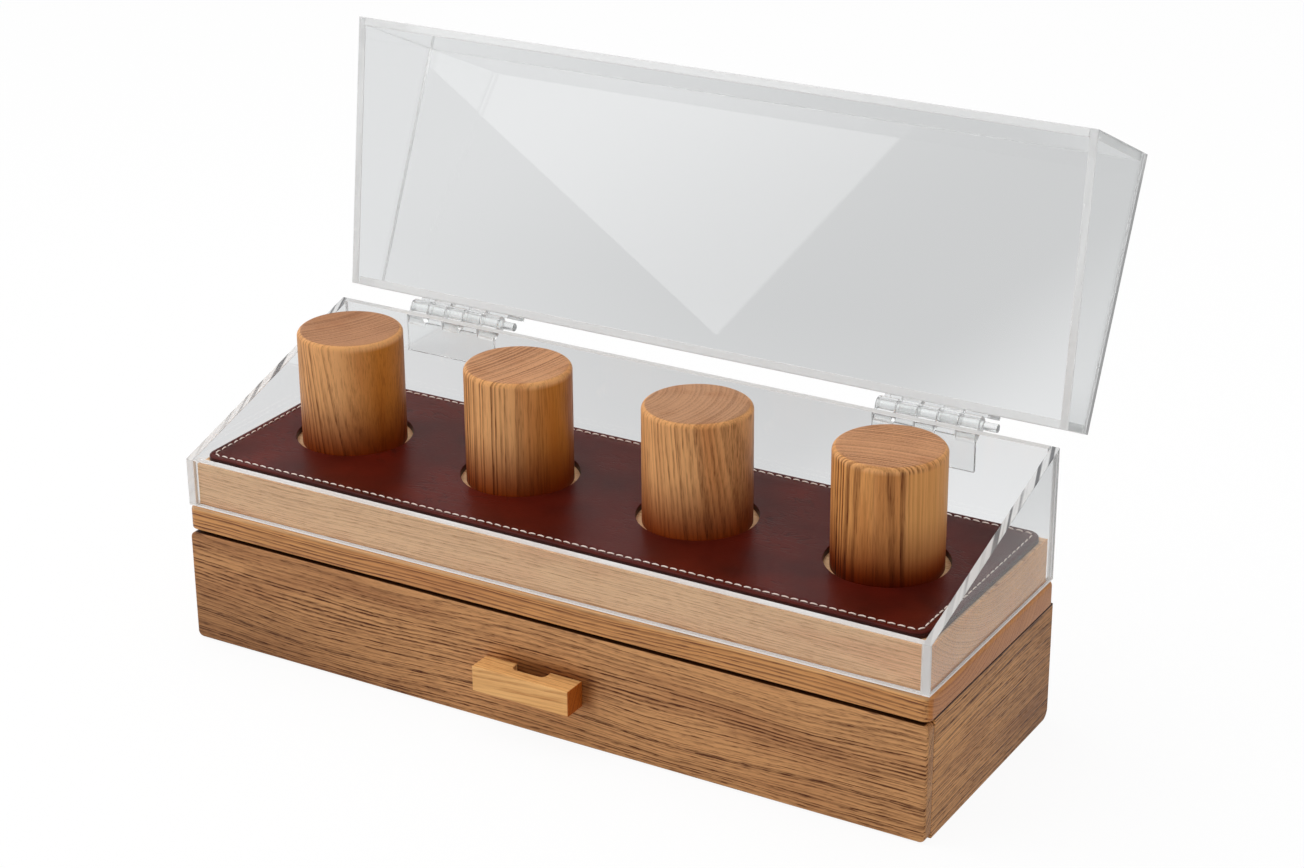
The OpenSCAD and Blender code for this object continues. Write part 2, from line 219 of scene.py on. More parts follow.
# %% World
ROOM = 0.22
PANELS_ROUND = (
    ((0, 0, 1), 0.1, 0.9, 0.45),
    ((-1, 0, 0), 0.45, 0.95, 1.25),
    ((0.72, -0.68, 0.14), 0.5, 0.95, 0.20),
)
THROUGH_ACRYLIC = 1.05
THROUGH_DIMMER = (((0, 0, 1), 0.0, 0.2, 0.5), ((1, 0, 0), 0.1, 0.5, 0.3))
THROUGH_LIGHT = 0.80
BOUNCES = 32


def add_world():
    """White to the camera, a room with soft panels to everything else."""
    world = bpy.data.worlds.new("studio")
    bpy.context.scene.world = world
    world.use_nodes = True
    tree = world.node_tree
    tree.nodes.clear()
    direction = add("TexCoord", tree=tree).outputs["Generated"]
    level = ROOM
    for towards, start, end, strength in PANELS_ROUND:
        level = plus(ramp_along(direction, towards, start, end, 0.0, strength), level)
    behind = THROUGH_ACRYLIC
    for towards, start, end, share in THROUGH_DIMMER:
        behind = times(ramp_along(direction, towards, start, end, 1.0, share), behind)
    rays = add("LightPath", tree=tree).outputs
    behind = seen_or_lighting(rays, behind, THROUGH_LIGHT)
    room, through, seen = (add("Background", {"Color": WHITE, "Strength": strength}, tree)
                           for strength in (level, behind, 1.0))
    mixed = mix_shaders(rays["Is Transmission Ray"], room, through)
    mixed = mix_shaders(rays["Is Camera Ray"], mixed, seen)
    add("OutputWorld", {"Surface": mixed})


add_world()
bpy.context.scene.view_settings.view_transform = "Standard"
cycles = bpy.context.scene.cycles
cycles.max_bounces = cycles.transmission_bounces = cycles.glossy_bounces = BOUNCES
print("world: room", ROOM, "with", len(PANELS_ROUND), "panels")

# %% [markdown]
# The open lid mirrors one corner of the main soft box. Following three points
# of that reflection back from the lid gives the corner's place and the way its
# two sides run, so the lamp stands where the real one stood. A second, weaker
# lamp overhead lights the object from above but shows in no reflection, so the
# bright line along the board's rounded front edge comes from the soft box and
# a painted highlight in the board's wood.

# %% Lamps
SOFT_BOX_CORNER = Vector((-0.747, -1.220, 0.764))
SOFT_BOX_SIDE = 1.70
SOFT_BOX_TOWARDS = Vector((-0.493, -0.762, 0.420)).normalized()
SOFT_BOX_MIDDLE_WAY = Vector((-0.178, 0.561, 0.809))
SOFT_BOX_STRENGTH = 1.05
TOP_LAMP_PLACE = Vector((0.0, 0.10, 1.60))
TOP_LAMP_SIDES = (Vector((1.3, 0, 0)), Vector((0, 1.0, 0)))
TOP_LAMP_STRENGTH = 1.0


def add_soft_box(name, middle, across, along, strength):
    """A rectangular lamp of one radiance, so its power follows its size."""
    lamp = bpy.data.lights.new(name, "AREA")
    lamp.shape = "RECTANGLE"
    lamp.size = across.length
    lamp.size_y = along.length
    lamp.energy = strength * math.pi * across.length * along.length
    out = across.cross(along).normalized()
    box = add_object(name, lamp)
    columns = Matrix((across.normalized(), along.normalized(), out)).transposed()
    box.matrix_world = Matrix.Translation(middle) @ columns.to_4x4()
    box.visible_camera = False
    return box


def add_lamps():
    """The mirrored soft box, standing on its corner, and the lamp overhead."""
    way = SOFT_BOX_MIDDLE_WAY - SOFT_BOX_MIDDLE_WAY.project(SOFT_BOX_TOWARDS)
    way.normalize()
    across, along = ((Matrix.Rotation(math.radians(turn), 3, SOFT_BOX_TOWARDS) @ way) * SOFT_BOX_SIDE
                     for turn in (-45, 45))
    middle = SOFT_BOX_CORNER + (across + along) / 2
    add_soft_box("soft_box", middle, across, along, SOFT_BOX_STRENGTH)
    top_lamp = add_soft_box("top_lamp", TOP_LAMP_PLACE, *TOP_LAMP_SIDES, TOP_LAMP_STRENGTH)
    top_lamp.visible_glossy = False
    top_lamp.visible_transmission = False
    return middle


print("soft box stands at", [round(v, 2) for v in add_lamps()])

# %% [markdown]
# The floor is one pale sheet. To the camera it is nearly all white light, with
# a small share of its true shading, which keeps a faint shadow where the case
# stands. Seen through the acrylic it is a pale grey that changes a little from
# left to right, darker behind the right end, and mirrored in the acrylic it is
# darker still. To every other ray it is a matte white board that lights the
# object from below.

# %% Floor
FLOOR_HALF = 6.0
FLOOR_DROP = 0.2 * MM
FLOOR_MATTE = (0.85, 0.85, 0.85, 1)
FLOOR_SEEN = 1.02
FLOOR_GLOW = 0.90
FLOOR_THROUGH = 0.80
FLOOR_THROUGH_TINT = (0.985, 0.992, 1.0, 1)
FLOOR_CHANGES = (
    ((1, 0, 0), -0.55, -0.10, -0.14),
    ((1, 0, 0), -0.06, 0.06, 0.17),
    ((0, -1, 0), -0.50, -0.15, 0.12),
)
FLOOR_SHADE = ((1, 0, 0), 0.23, 0.33, 0.0, 0.68)
FLOOR_SHADE_ENDS = ((0, 1, 0), 0.35, 0.45, 1.0, 0.0)
FLOOR_MIRRORED = 0.45
FLOOR_LIGHT = 0.85


def new_piece(name, points, faces):
    """A mesh object at the origin, from points in metres."""
    mesh = bpy.data.meshes.new(name)
    mesh.from_pydata([tuple(p) for p in points], [], faces)
    mesh.update()
    return add_object(name, mesh)


def new_material(name):
    """An empty node material, and a place on the object to start its tree from."""
    material = bpy.data.materials.new(name)
    material.use_nodes = True
    tree = material.node_tree
    tree.nodes.clear()
    return material, add("TexCoord", tree=tree).outputs["Object"]


def end_material(surface):
    add("OutputMaterial", {"Surface": surface})


def floor_material():
    """Matte white, nearly pure light to the camera, and an even pale grey through the acrylic."""
    material, place = new_material("floor_white")
    level = FLOOR_THROUGH
    for towards, start, end, change in FLOOR_CHANGES:
        level = plus(ramp_along(place, towards, start, end, 0.0, change), level)
    shade = times(*(ramp_along(place, *facts) for facts in (FLOOR_SHADE, FLOOR_SHADE_ENDS)))
    kept = minus(1.0, shade)
    rays = add("LightPath", tree=place.id_data).outputs
    level = seen_or_lighting(rays, times(level, kept), FLOOR_LIGHT)
    mixed = add("BsdfDiffuse", {"Color": FLOOR_MATTE}, place.id_data)
    for ray, tint, strength in (("Is Glossy Ray", WHITE, times(kept, FLOOR_MIRRORED)),
                                ("Is Transmission Ray", FLOOR_THROUGH_TINT, level),
                                ("Is Camera Ray", WHITE, FLOOR_SEEN)):
        light = add("Emission", {"Color": tint, "Strength": strength}, place.id_data)
        mixed = mix_shaders(times(rays[ray], FLOOR_GLOW), mixed, light)
    end_material(mixed)
    return material


corners = [(x * FLOOR_HALF, y * FLOOR_HALF, -FLOOR_DROP) for x, y in ((-1, -1), (1, -1), (1, 1), (-1, 1))]
floor = new_piece("floor", corners, [(0, 1, 2, 3)])
floor.data.materials.append(floor_material())
floor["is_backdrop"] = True
print("floor", 2 * FLOOR_HALF, "m wide")

# %% [markdown]
# All the wood here is open-grained, like oak or ash: dark rings of pores and
# paler wood between them. Sawn along the trunk the rings show as long streaks
# with short dark pore dashes in them, and across it as fine arcs. So the wood
# is built as a solid block, as a tree grows: rings round a pith that lies
# outside the piece, gently bent, with pores stretched along the grain. Boards,
# posts and end grain then all come out of one recipe, cut at other angles.

# %% The grain recipe
NO_CALM = (10000.0, 10001.0)
GRAIN_INPUTS = {
    "Vector": (0, 0, 0), "Light": (0.5, 0.3, 0.2, 1), "Dark": (0.3, 0.2, 0.1, 1), "Flush": (0.3, 0.2, 0.1, 1),
    "Ring width": 2.0, "Pith across": 60.0, "Pith deep": 40.0, "Bend": 6.0, "Ripple": 0.8,
    "Ring share": 0.8, "Sharpness": 1.0, "Calm from": NO_CALM[0], "Calm to": NO_CALM[1],
    "Break share": 0.5, "Break length": 12.0, "Pore share": 0.4, "Pore length": 6.0, "Cloud share": 0.3,
}
GRAIN_OUTPUTS = {"Color": "NodeSocketColor", "Roughness": "NodeSocketFloat", "Height": "NodeSocketFloat"}
RING_PROFILE = ((0.0, 0.80), (0.10, 1.0), (0.30, 0.85), (0.55, 0.25), (0.80, 0.0), (0.92, 0.15), (1.0, 0.80))
SLOW_BEND = (130, 40)
QUICK_BEND = (15, 3.5, 1.0, 7.0)
FIBRES = (22, 0.75, 2.0, 3.0)
CLOUDS = (90, 16, 1.5, 11.0)
DASHES, DASH_ENDS = (0.7, 1.0, 3.0), (0.56, 0.42)
PORES, PORE_EDGE = (0.42, 1.0, 19.0), (0.53, 0.66)
UNEVEN_YEARS = (0.45, 1.8)
STRONG_YEARS = (3.7, (0.3, 0.7, 0.45, 1.0))
CALM_SHARE = 0.15
FIBRE_TONE = 0.9
FLUSH_EDGE = (0.50, 0.75)
ROUGHNESS = {"even": 0.40, "pores": 0.18, "fibres": 0.12}
RELIEF = {"pores": -0.8, "fibres": 0.25, "rings": -0.25}
FINE_ROUGHNESS = 0.55


def new_input(tree, label, value):
    """A named input. Its kind follows from its first value, where None stands for a material."""
    kind = {float: "Float", int: "Int", type(None): "Material"}.get(type(value))
    kind = kind or {3: "Vector", 4: "Color"}[len(value)]
    socket = tree.interface.new_socket(label, in_out="INPUT", socket_type="NodeSocket" + kind)
    if value is not None:
        socket.default_value = value


def stretched_noise(vector, along, across, detail=1.0, offset=0.0):
    """Noise whose blobs are along by across millimetres, long way on X. Along may be a socket."""
    short = 1 / across
    tree = vector.id_data
    long = over(1.0, along) if isinstance(along, bpy.types.NodeSocket) else 1 / along
    scaled = add("VectorMath", {
        0: vector, 1: vector_of(tree, x=long, y=short, z=short), 2: (offset,) * 3}, operation="MULTIPLY_ADD")
    return noise_at(scaled, 1.0, detail, Roughness=FINE_ROUGHNESS)


def three_noises(vector, *shape):
    """Three separate noises of one shape."""
    return add("SeparateColor", {0: stretched_noise(vector, *shape).outputs["Color"]}).outputs


def swing(value, amount):
    """A 0 to 1 noise turned into a push to either side."""
    return times(minus(value, 0.5), amount)


def set_ramp(node, stops):
    """Fills a colour ramp with grey levels at these places."""
    elements = node.color_ramp.elements
    while len(elements) < len(stops):
        elements.new(0.5)
    for element, (place, level) in zip(elements, stops):
        element.position = place
        element.color = (level, level, level, 1)


def grain_rings(given, bent):
    """The years' dark lines, of uneven width and strength, from their distance to the pith."""
    across = minus(bent[0], given["Pith across"])
    deep = minus(bent[1], given["Pith deep"])
    reach = calculate("SQRT", plus(times(across, across), times(deep, deep)))
    years = over(reach, given["Ring width"])
    slowly, amount = UNEVEN_YEARS
    years = plus(years, times(noise_along(times(years, slowly), 1.0, 1.0), amount))
    year = add("ValToRGB", {0: calculate("FRACT", years)})
    set_ramp(year, RING_PROFILE)
    scale, strength = STRONG_YEARS
    strong = noise_along(calculate("FLOOR", years), scale, 0.0)
    ring = times(calculate("POWER", year, given["Sharpness"]), between(strong, *strength))
    return times(ring, between(reach, given["Calm from"], given["Calm to"], 1.0, CALM_SHARE))


def build_grain():
    """Colour, roughness and height of a block of wood, with its grain along X, in millimetres."""
    tree = bpy.data.node_groups.new("solid_wood", "ShaderNodeTree")
    for label, value in GRAIN_INPUTS.items():
        new_input(tree, label, value)
    for label, kind in GRAIN_OUTPUTS.items():
        tree.interface.new_socket(label, in_out="OUTPUT", socket_type=kind)
    given = add("NodeGroupInput", tree=tree).outputs
    position = given["Vector"]
    x, *sides = axes_of(position)
    slow = three_noises(position, *SLOW_BEND)
    quick = three_noises(position, *QUICK_BEND)
    bent = [plus(side, plus(swing(slow[i], given["Bend"]), swing(quick[i], given["Ripple"])))
            for i, side in enumerate(sides)]
    place = vector_of(tree, x=x, y=bent[0], z=bent[1])

    ring = grain_rings(given, bent)
    dashes = stretched_noise(place, given["Break length"], *DASHES)
    broken = times(between(dashes, *DASH_ENDS), given["Break share"])
    line = times(ring, minus(1.0, broken))
    pores = stretched_noise(place, given["Pore length"], *PORES)
    pores = times(between(pores, *PORE_EDGE), times_plus(ring, 0.5, 0.5))
    fibre = stretched_noise(place, *FIBRES)
    cloud = three_noises(place, *CLOUDS)

    tone = times_plus(pores, given["Pore share"], times(line, given["Ring share"]))
    tone = plus(tone, swing(cloud[0], given["Cloud share"]))
    tone = plus(tone, swing(fibre, FIBRE_TONE), clamp=True)
    flush = times(between(cloud[1], *FLUSH_EDGE), given["Cloud share"])
    light = mix_colour(flush, given["Light"], given["Flush"])
    wood = mix_colour(tone, light, given["Dark"])
    rough = times_plus(pores, ROUGHNESS["pores"], ROUGHNESS["even"])
    rough = plus(rough, swing(fibre, ROUGHNESS["fibres"]))
    height = times_plus(pores, RELIEF["pores"], times(fibre, RELIEF["fibres"]))
    height = times_plus(line, RELIEF["rings"], height)
    add("NodeGroupOutput", {0: wood, 1: rough, 2: height})
    return tree


grain = build_grain()
print("grain recipe:", len(grain.nodes), "nodes")

# %% [markdown]
# A wood is the recipe with its own colours, ring width and pith. The Mapping
# node turns the block so that its grain runs the way the real board's does,
# and shifts it so that no two boards show the same figure. A thin matte oil
# finish is only a little roughness and a low bump. Over that lie tints that
# grow along one axis, and streaks, which fill a box. End grain drank more oil,
# but the rest is painted light and shade: a painted highlight along the board's
# rounded front edge, painted shade in the gap above the drawer front and in the
# seam under the board along the sides and back, a painted shadow round the
# pull, and painted shade on the left and lower parts of the front and towards
# the back of the right side.

# %% Woods
ALONG_X = (0, 0, 0)
ALONG_Y = (0, 0, math.radians(-90))
PULL_TURN = (0, math.radians(5), 0)
RELIEF_DEPTH = 0.3 * MM
WOOD_IOR = 1.45
OIL_ROUGHNESS = 0.15
FIGURE = ("Ring width", "Pith across", "Pith deep", "Bend", "Ripple", "Ring share", "Break share",
          "Break length", "Pore share", "Pore length", "Cloud share", "Sharpness", "Calm from", "Calm to")


def tints(light, dark, flush):
    """A wood's three colours, in the recipe's names."""
    return {"Light": colour(*light), "Dark": colour(*dark), "Flush": colour(*flush)}


BROWN = tints((217, 159, 104), (86, 38, 8), (158, 98, 58))
GREYED = tints((228, 165, 102), (80, 32, 4), (166, 107, 62))
WARM = tints((218, 153, 87), (116, 61, 24), (184, 110, 54))
PALE = tints((255, 208, 158), (198, 138, 90), (250, 182, 134))
HONEY = tints((239, 176, 116), (96, 36, 2), (190, 102, 36))
STRAW = tints((246, 190, 122), (166, 96, 40), (230, 164, 94))
BIRCH = tints((226, 200, 162), (190, 152, 108), (214, 182, 140))


# Tints laid this way are end grain and the leather's edge, but also painted shade and painted highlight.
def stain_or_shade(tint, place, axis, none, full, share, stain_or_shade_tint, blend="MULTIPLY"):
    """Lays a tint over the wood that grows from none to full between two places on an axis."""
    along = axes_of(place)["XYZ".index(axis)]
    share = between(along, none * MM, full * MM, 0.0, share, smooth=True)
    return mix_colour(share, tint, stain_or_shade_tint, blend)


def streak(tint, place, bands, share, streak_tint, blend="MULTIPLY"):
    """Tints the wood inside bands, each an axis, its two ends and how softly they end."""
    sides = axes_of(place)
    for axis, starts, ends, soft in bands:
        side = sides["XYZ".index(axis)]
        rises = between(side, (starts - soft / 2) * MM, (starts + soft / 2) * MM)
        falls = between(side, (ends + soft / 2) * MM, (ends - soft / 2) * MM)
        share = times(times(rises, falls), share)
    return mix_colour(share, tint, streak_tint, blend)


def end_surface(height, strength, depth, inputs):
    """Ends a material in a Principled shader over a bump of this height, strength and depth."""
    relief = add("Bump", {"Strength": strength, "Distance": depth, "Height": height})
    end_material(add("BsdfPrincipled", {**inputs, "Normal": relief}))


def add_wood(name, colours, turn, shift, figure, bump=0.25, coat=0.0, shine=0.3, stains_and_shades=(), streaks=()):
    """A wood material: the grain recipe in these colours and numbers, turned and shifted on the piece."""
    material, place = new_material(name)
    turned = add("Mapping", {"Vector": place, "Location": shift, "Rotation": turn, "Scale": (1 / MM,) * 3})
    figure = dict(zip(FIGURE, figure))
    tint, rough, height = add("Group", {"Vector": turned, **colours, **figure}, node_tree=grain).outputs
    for facts in streaks:
        tint = streak(tint, place, *facts)
    for facts in stains_and_shades:
        tint = stain_or_shade(tint, place, *facts)
    end_surface(height, bump, RELIEF_DEPTH, {
        "Base Color": tint, "Roughness": rough, "IOR": WOOD_IOR, "Specular IOR Level": shine,
        "Coat Weight": coat, "Coat Roughness": OIL_ROUGHNESS})
    return material


# Painted shade: the drawer front's top face, seen in the gap under the board, is painted near black.
GAP_SHADE_ON_TOP = ("Z", 55.7, 55.88, 1.0, (0.10, 0.07, 0.05, 1))
# Painted shade: the front is painted darker towards its left end.
FRONT_LEFT_SHADE = ("X", -60, -193, 1.0, (0.88, 0.86, 0.86, 1))
# Painted shade: the lower left of the front is painted darker.
FRONT_LOW_LEFT_SHADE = ((("X", -300, -95, 110), ("Z", -30, 25, 20)), 1.0, (0.76, 0.74, 0.73, 1))
# Painted shadow: the pull's shadow, painted on the front above and to the right of it.
PULL_SHADOW = ((("X", -16, 31, 6), ("Z", 20, 37.5, 6)), 1.0, (0.52, 0.40, 0.28, 1))
# Painted shade: the right side is painted darker towards the back.
SIDE_BACK_SHADE = ("Y", 0, 64, 1.0, (0.80, 0.74, 0.66, 1))
# Painted shade: a dark line along the top of the sides and back, in the seam under the board.
SHADE_UNDER_BOARD = ("Z", 56.4, 56.9, 1.0, (0.12, 0.08, 0.06, 1))
BOARD_END = ("X", 191.5, 192.9, 0.6, colour(198, 118, 50), "MIX")
# Painted highlight: a pale band along the board's rounded front edge.
BOARD_EDGE_HIGHLIGHT = ("Z", 67.3, 68.1, 0.4, colour(244, 196, 138), "MIX")
PLINTH_END = ("X", 187.4, 187.9, 1.0, (0.98, 0.82, 0.58, 1))
PULL_END = ("X", 24.6, 25.2, 1.0, (0.50, 0.22, 0.05, 1))
SIDE_FIGURE = (165, 6, 0.45, 1.0, 0.5, 12, 0.45, 5, 0.55)
BIRCH_FIGURE = (14, 0.6, 0.4, 0.2, 30, 0.08, 5, 0.5)

woods = {
    "front": add_wood("oiled_oak_front", BROWN, ALONG_X, (40, 0, 0),
                      (1.1, -128, 78, 7, 0.45, 1.0, 0.55, 10, 0.45, 5, 0.55),
                      stains_and_shades=(FRONT_LEFT_SHADE, GAP_SHADE_ON_TOP), streaks=(PULL_SHADOW, FRONT_LOW_LEFT_SHADE)),
    "side_right": add_wood("oiled_oak_side_right", GREYED, ALONG_Y, (10, 0, 50),
                           (1.1, -253, *SIDE_FIGURE), stains_and_shades=(SIDE_BACK_SHADE, SHADE_UNDER_BOARD)),
    "side_left": add_wood("oiled_oak_side_left", GREYED, ALONG_Y, (400, 0, 50),
                          (1.1, 253, *SIDE_FIGURE), stains_and_shades=(SHADE_UNDER_BOARD,)),
    "back": add_wood("oiled_oak_back", BROWN, ALONG_X, (400, 0, 0),
                     (1.1, 130, 90, 7, 0.45, 1.0, 0.55, 10, 0.45, 5, 0.55), stains_and_shades=(SHADE_UNDER_BOARD,)),
    "board": add_wood("oiled_oak_board", WARM, ALONG_X, (0, 0, 0),
                      (1.8, -40, 130, 7, 0.5, 1.0, 0.4, 45, 0.35, 9, 0.5, 1.2),
                      coat=0.6, stains_and_shades=(BOARD_EDGE_HIGHLIGHT, BOARD_END)),
    "plinth": add_wood("pale_oak_plinth", PALE, ALONG_X, (90, 0, 0),
                       (1.1, 20, 190, 5, 0.5, 0.8, 0.6, 12, 0.5, 5, 0.5), bump=0.15, stains_and_shades=(PLINTH_END,)),
    "pull": add_wood("straw_oak_pull", STRAW, PULL_TURN, (700, 0, 0),
                     (1.5, 80, -60, 3, 0.3, 0.7, 0.3, 16, 0.2, 6, 0.4, 1.2), bump=0.15, stains_and_shades=(PULL_END,)),
    "birch_long": add_wood("birch_along_case", BIRCH, ALONG_X, (0, 500, 0),
                           (3.0, 560, 90, *BIRCH_FIGURE), bump=0.1),
    "birch_deep": add_wood("birch_front_to_back", BIRCH, ALONG_Y, (0, 800, 60),
                           (3.0, 860, 150, *BIRCH_FIGURE), bump=0.1),
}
print("woods:", sorted(woods))

# %% [markdown]
# The case is made of boards: panels, a top board with rounded corners and
# edges, a plinth, the drawer's front and box, and a small bar with a finger
# slot as its pull. On the real stand no edge is razor sharp: each one was eased
# with sandpaper, and the eased edge catches the light. The CAD boards have the
# right shape, so each is copied, its loose triangles are merged back into flat
# faces, and the edges that are still sharp get a small bevel.

# %% Panels with eased edges
SHARP = math.radians(25)
FLAT = math.radians(0.5)
SAME_WAY = 0.99
TOUCHING = 0.001 * MM
PANEL_EASE = 0.35 * MM
PANELS = {
    ("case", "brown_oak"): {
        "case_side_left": "side_left", "case_side_right": "side_right", "case_back": "back"},
    ("case", "birch"): {"case_bottom": "birch_long"},
    ("case", "warm_oak"): {"top_board": "board"},
    ("case", "pale_oak"): {"plinth": "plinth"},
    ("drawer", "brown_oak"): {"drawer_front": "front"},
    ("drawer", "birch"): {
        "drawer_box_front": "birch_long", "drawer_side_left": "birch_deep", "drawer_side_right": "birch_deep",
        "drawer_back": "birch_long", "drawer_bottom": "birch_long"},
    ("drawer", "light_oak"): {"drawer_pull": "pull"},
}


def cut_smooth(piece, angle=SHARP):
    """Shades the piece smooth, but keeps the edges that are sharper than angle."""
    mesh = piece.data
    mesh.polygons.foreach_set("use_smooth", [True] * len(mesh.polygons))
    mesh.set_sharp_from_angle(angle=angle)
    return piece


def write_faces(work, mesh):
    """Turns the worked faces outwards and writes them into the mesh."""
    bmesh.ops.recalc_face_normals(work, faces=work.faces)
    work.to_mesh(mesh)
    work.free()
    return mesh


def draw_in(work, shrink):
    """Moves every face in by shrink, so a corner moves along all the faces that meet at it."""
    bmesh.ops.recalc_face_normals(work, faces=work.faces)
    moves = {}
    for vert in work.verts:
        pushes = []
        for face in vert.link_faces:
            if all(face.normal.dot(p) < SAME_WAY for p in pushes):
                pushes.append(face.normal.copy())
        moves[vert] = sum(pushes, Vector()) * -shrink
    for vert, move in moves.items():
        vert.co += move


def eased_copy(node, name, ease, shrink=0.0):
    """A copy of a CAD node with its sharp edges rounded, and its faces drawn in by shrink."""
    work = bmesh.new()
    work.from_mesh(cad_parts[node].data)
    bmesh.ops.remove_doubles(work, verts=work.verts, dist=TOUCHING)
    bmesh.ops.dissolve_limit(work, angle_limit=FLAT, verts=work.verts, edges=work.edges)
    if shrink:
        draw_in(work, shrink)
    edges = [e for e in work.edges if len(e.link_faces) == 2 and e.calc_face_angle() > SHARP]
    bmesh.ops.bevel(work, geom=edges, offset=ease, segments=2, profile=0.5, affect="EDGES",
                    clamp_overlap=True)
    return cut_smooth(add_object(name, write_faces(work, bpy.data.meshes.new(name))))


def settle(piece, body, slot, material=None, *nodes):
    """Gives the piece its material and its body, and hides the CAD nodes that it stands for. The slot is not
    used.
    """
    if material:
        piece.data.materials.clear()
        piece.data.materials.append(material)
    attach(piece, body)
    if nodes:
        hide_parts(*nodes)
    return piece


for (body, slot), nodes in PANELS.items():
    for node, wood in nodes.items():
        panel = settle(eased_copy(node, node + "_eased", PANEL_EASE), body, slot, woods[wood], node)
        print(panel.name, len(panel.data.polygons), "faces")

# %% [markdown]
# Pieces that follow a rule are grown by Geometry Nodes. Each tree has named
# inputs for its sizes, so one tree serves every copy. The grown shape is then
# read back as a plain mesh, because only plain meshes travel with the model.

# %% Helpers for Geometry Nodes
AXIS = (0.0, 0.0, 0.0)


def new_shape_tree(name, inputs):
    """An empty Geometry Nodes tree with these named inputs, and the sockets that carry them."""
    tree = bpy.data.node_groups.new(name, "GeometryNodeTree")
    for label, value in inputs.items():
        new_input(tree, label, value)
    tree.interface.new_socket("Geometry", in_out="OUTPUT", socket_type="NodeSocketGeometry")
    return tree, add("NodeGroupInput", tree=tree).outputs


def end_shape_tree(shape, material):
    """Ends a tree in real faces with the material on them, and gives the tree."""
    real = add("RealizeInstances", {0: shape})
    shaded = add("SetMaterial", {"Geometry": real, "Material": material})
    return add("NodeGroupOutput", {0: shaded}).id_data


def moved(shape, way):
    """The shape moved this way."""
    return add("Transform", {"Geometry": shape, "Translation": way})


def grow(name, tree, values):
    """The piece that a tree grows from these values, as a plain mesh with its faces outwards."""
    seed = add_object(name + "_seed", bpy.data.meshes.new(name + "_seed"))
    modifier = seed.modifiers.new("grow", "NODES")
    modifier.node_group = tree
    sockets = {s.name: s.identifier for s in tree.interface.items_tree if s.in_out == "INPUT"}
    for label, value in values.items():
        modifier[sockets[label]] = value
    graph = bpy.context.evaluated_depsgraph_get()
    mesh = bpy.data.meshes.new_from_object(seed.evaluated_get(graph))
    bpy.data.objects.remove(seed)
    mesh.name = name
    work = bmesh.new()
    work.from_mesh(mesh)
    return cut_smooth(add_object(name, write_faces(work, mesh)))


print("helpers for growing pieces are ready")

# %% [markdown]
# A watch post is turned: a plain round bar with a soft rounded rim at its top
# and a slightly eased foot. Its shape is one profile carried round an axis, so
# the tree draws half the outline as a curve, fillets its corners, and wraps a
# grid round the axis, one row of the grid for each point of the outline.

# %% The turned post's tree
POST_INPUTS = {
    "Radius": 25 * MM, "Height": 56.5 * MM, "Rim": 2.5 * MM, "Foot": 0.4 * MM, "Margin": 0.6 * MM,
    "Columns": 96, "Place": AXIS, "Material": None,
}
FOOT_POINT, RIM_POINT = 2, 5
ROUNDING_STEPS = 7
MERGED = 0.002 * MM


def half_outline(given, index):
    """The points of half the post's outline, from the foot's middle up to the top's."""
    tree = index.id_data
    radius, height, rim, foot, margin = (given[k] for k in ("Radius", "Height", "Rim", "Foot", "Margin"))
    in_foot = minus(minus(radius, foot), margin)
    in_rim = minus(minus(radius, rim), margin)
    over_foot = plus(foot, margin)
    under_rim = minus(minus(height, rim), margin)
    corners = ((0.0, 0.0), (in_foot, 0.0), (radius, 0.0), (radius, over_foot),
               (radius, under_rim), (radius, height), (in_rim, height), (0.0, height))
    line = add("MeshLine", {"Count": len(corners)}, tree)
    corner = add("IndexSwitch", {"Index": index}, data_type="VECTOR")
    while len(corner.index_switch_items) < len(corners):
        corner.index_switch_items.new()
    for number, (across, up) in enumerate(corners, start=1):
        tree.links.new(vector_of(tree, x=across, z=up).outputs[0], corner.inputs[number])
    bent = add("SetPosition", {"Geometry": line, "Position": corner})
    curve = add("MeshToCurve", {0: bent})
    rounding = 0.0
    for point, size in ((FOOT_POINT, foot), (RIM_POINT, rim)):
        here = calculate("COMPARE", index, float(point), 0.5)
        rounding = times_plus(here, size, rounding)
    rounded = add("FilletCurve", {"Curve": curve, "Radius": rounding, "Count": ROUNDING_STEPS}, mode="POLY")
    return add("CurveToPoints", {"Curve": rounded}, mode="EVALUATED").outputs[0]


def build_post_tree():
    """Half the outline as a filleted curve, carried round the axis."""
    tree, given = new_shape_tree("turned_post", POST_INPUTS)
    index = add("InputIndex", tree=tree).outputs[0]
    points = half_outline(given, index)
    count = add("AttributeDomainSize", {0: points}, component="POINTCLOUD")
    rows = count.outputs["Point Count"]
    columns = given["Columns"]
    sheet = add("MeshGrid", {"Vertices X": plus(columns, 1.0), "Vertices Y": rows})
    column = calculate("FLOOR", over(index, rows))
    row = minus(index, times(column, rows))
    sample = add("SampleIndex", {
        "Geometry": points, "Index": row, "Value": add("InputPosition", tree=tree)}, data_type="FLOAT_VECTOR")
    reach, _, up = axes_of(sample)
    angle = times(over(column, columns), math.tau)
    x, y = (times(reach, calculate(operation, angle)) for operation in ("COSINE", "SINE"))
    wrapped = vector_of(tree, x=x, y=y, z=up)
    turned = add("SetPosition", {"Geometry": sheet, "Position": wrapped, "Offset": given["Place"]})
    closed = add("MergeByDistance", {"Geometry": turned, "Distance": MERGED})
    return end_shape_tree(closed, given["Material"])


post_tree = build_post_tree()
print("turned post tree:", len(post_tree.nodes), "nodes")

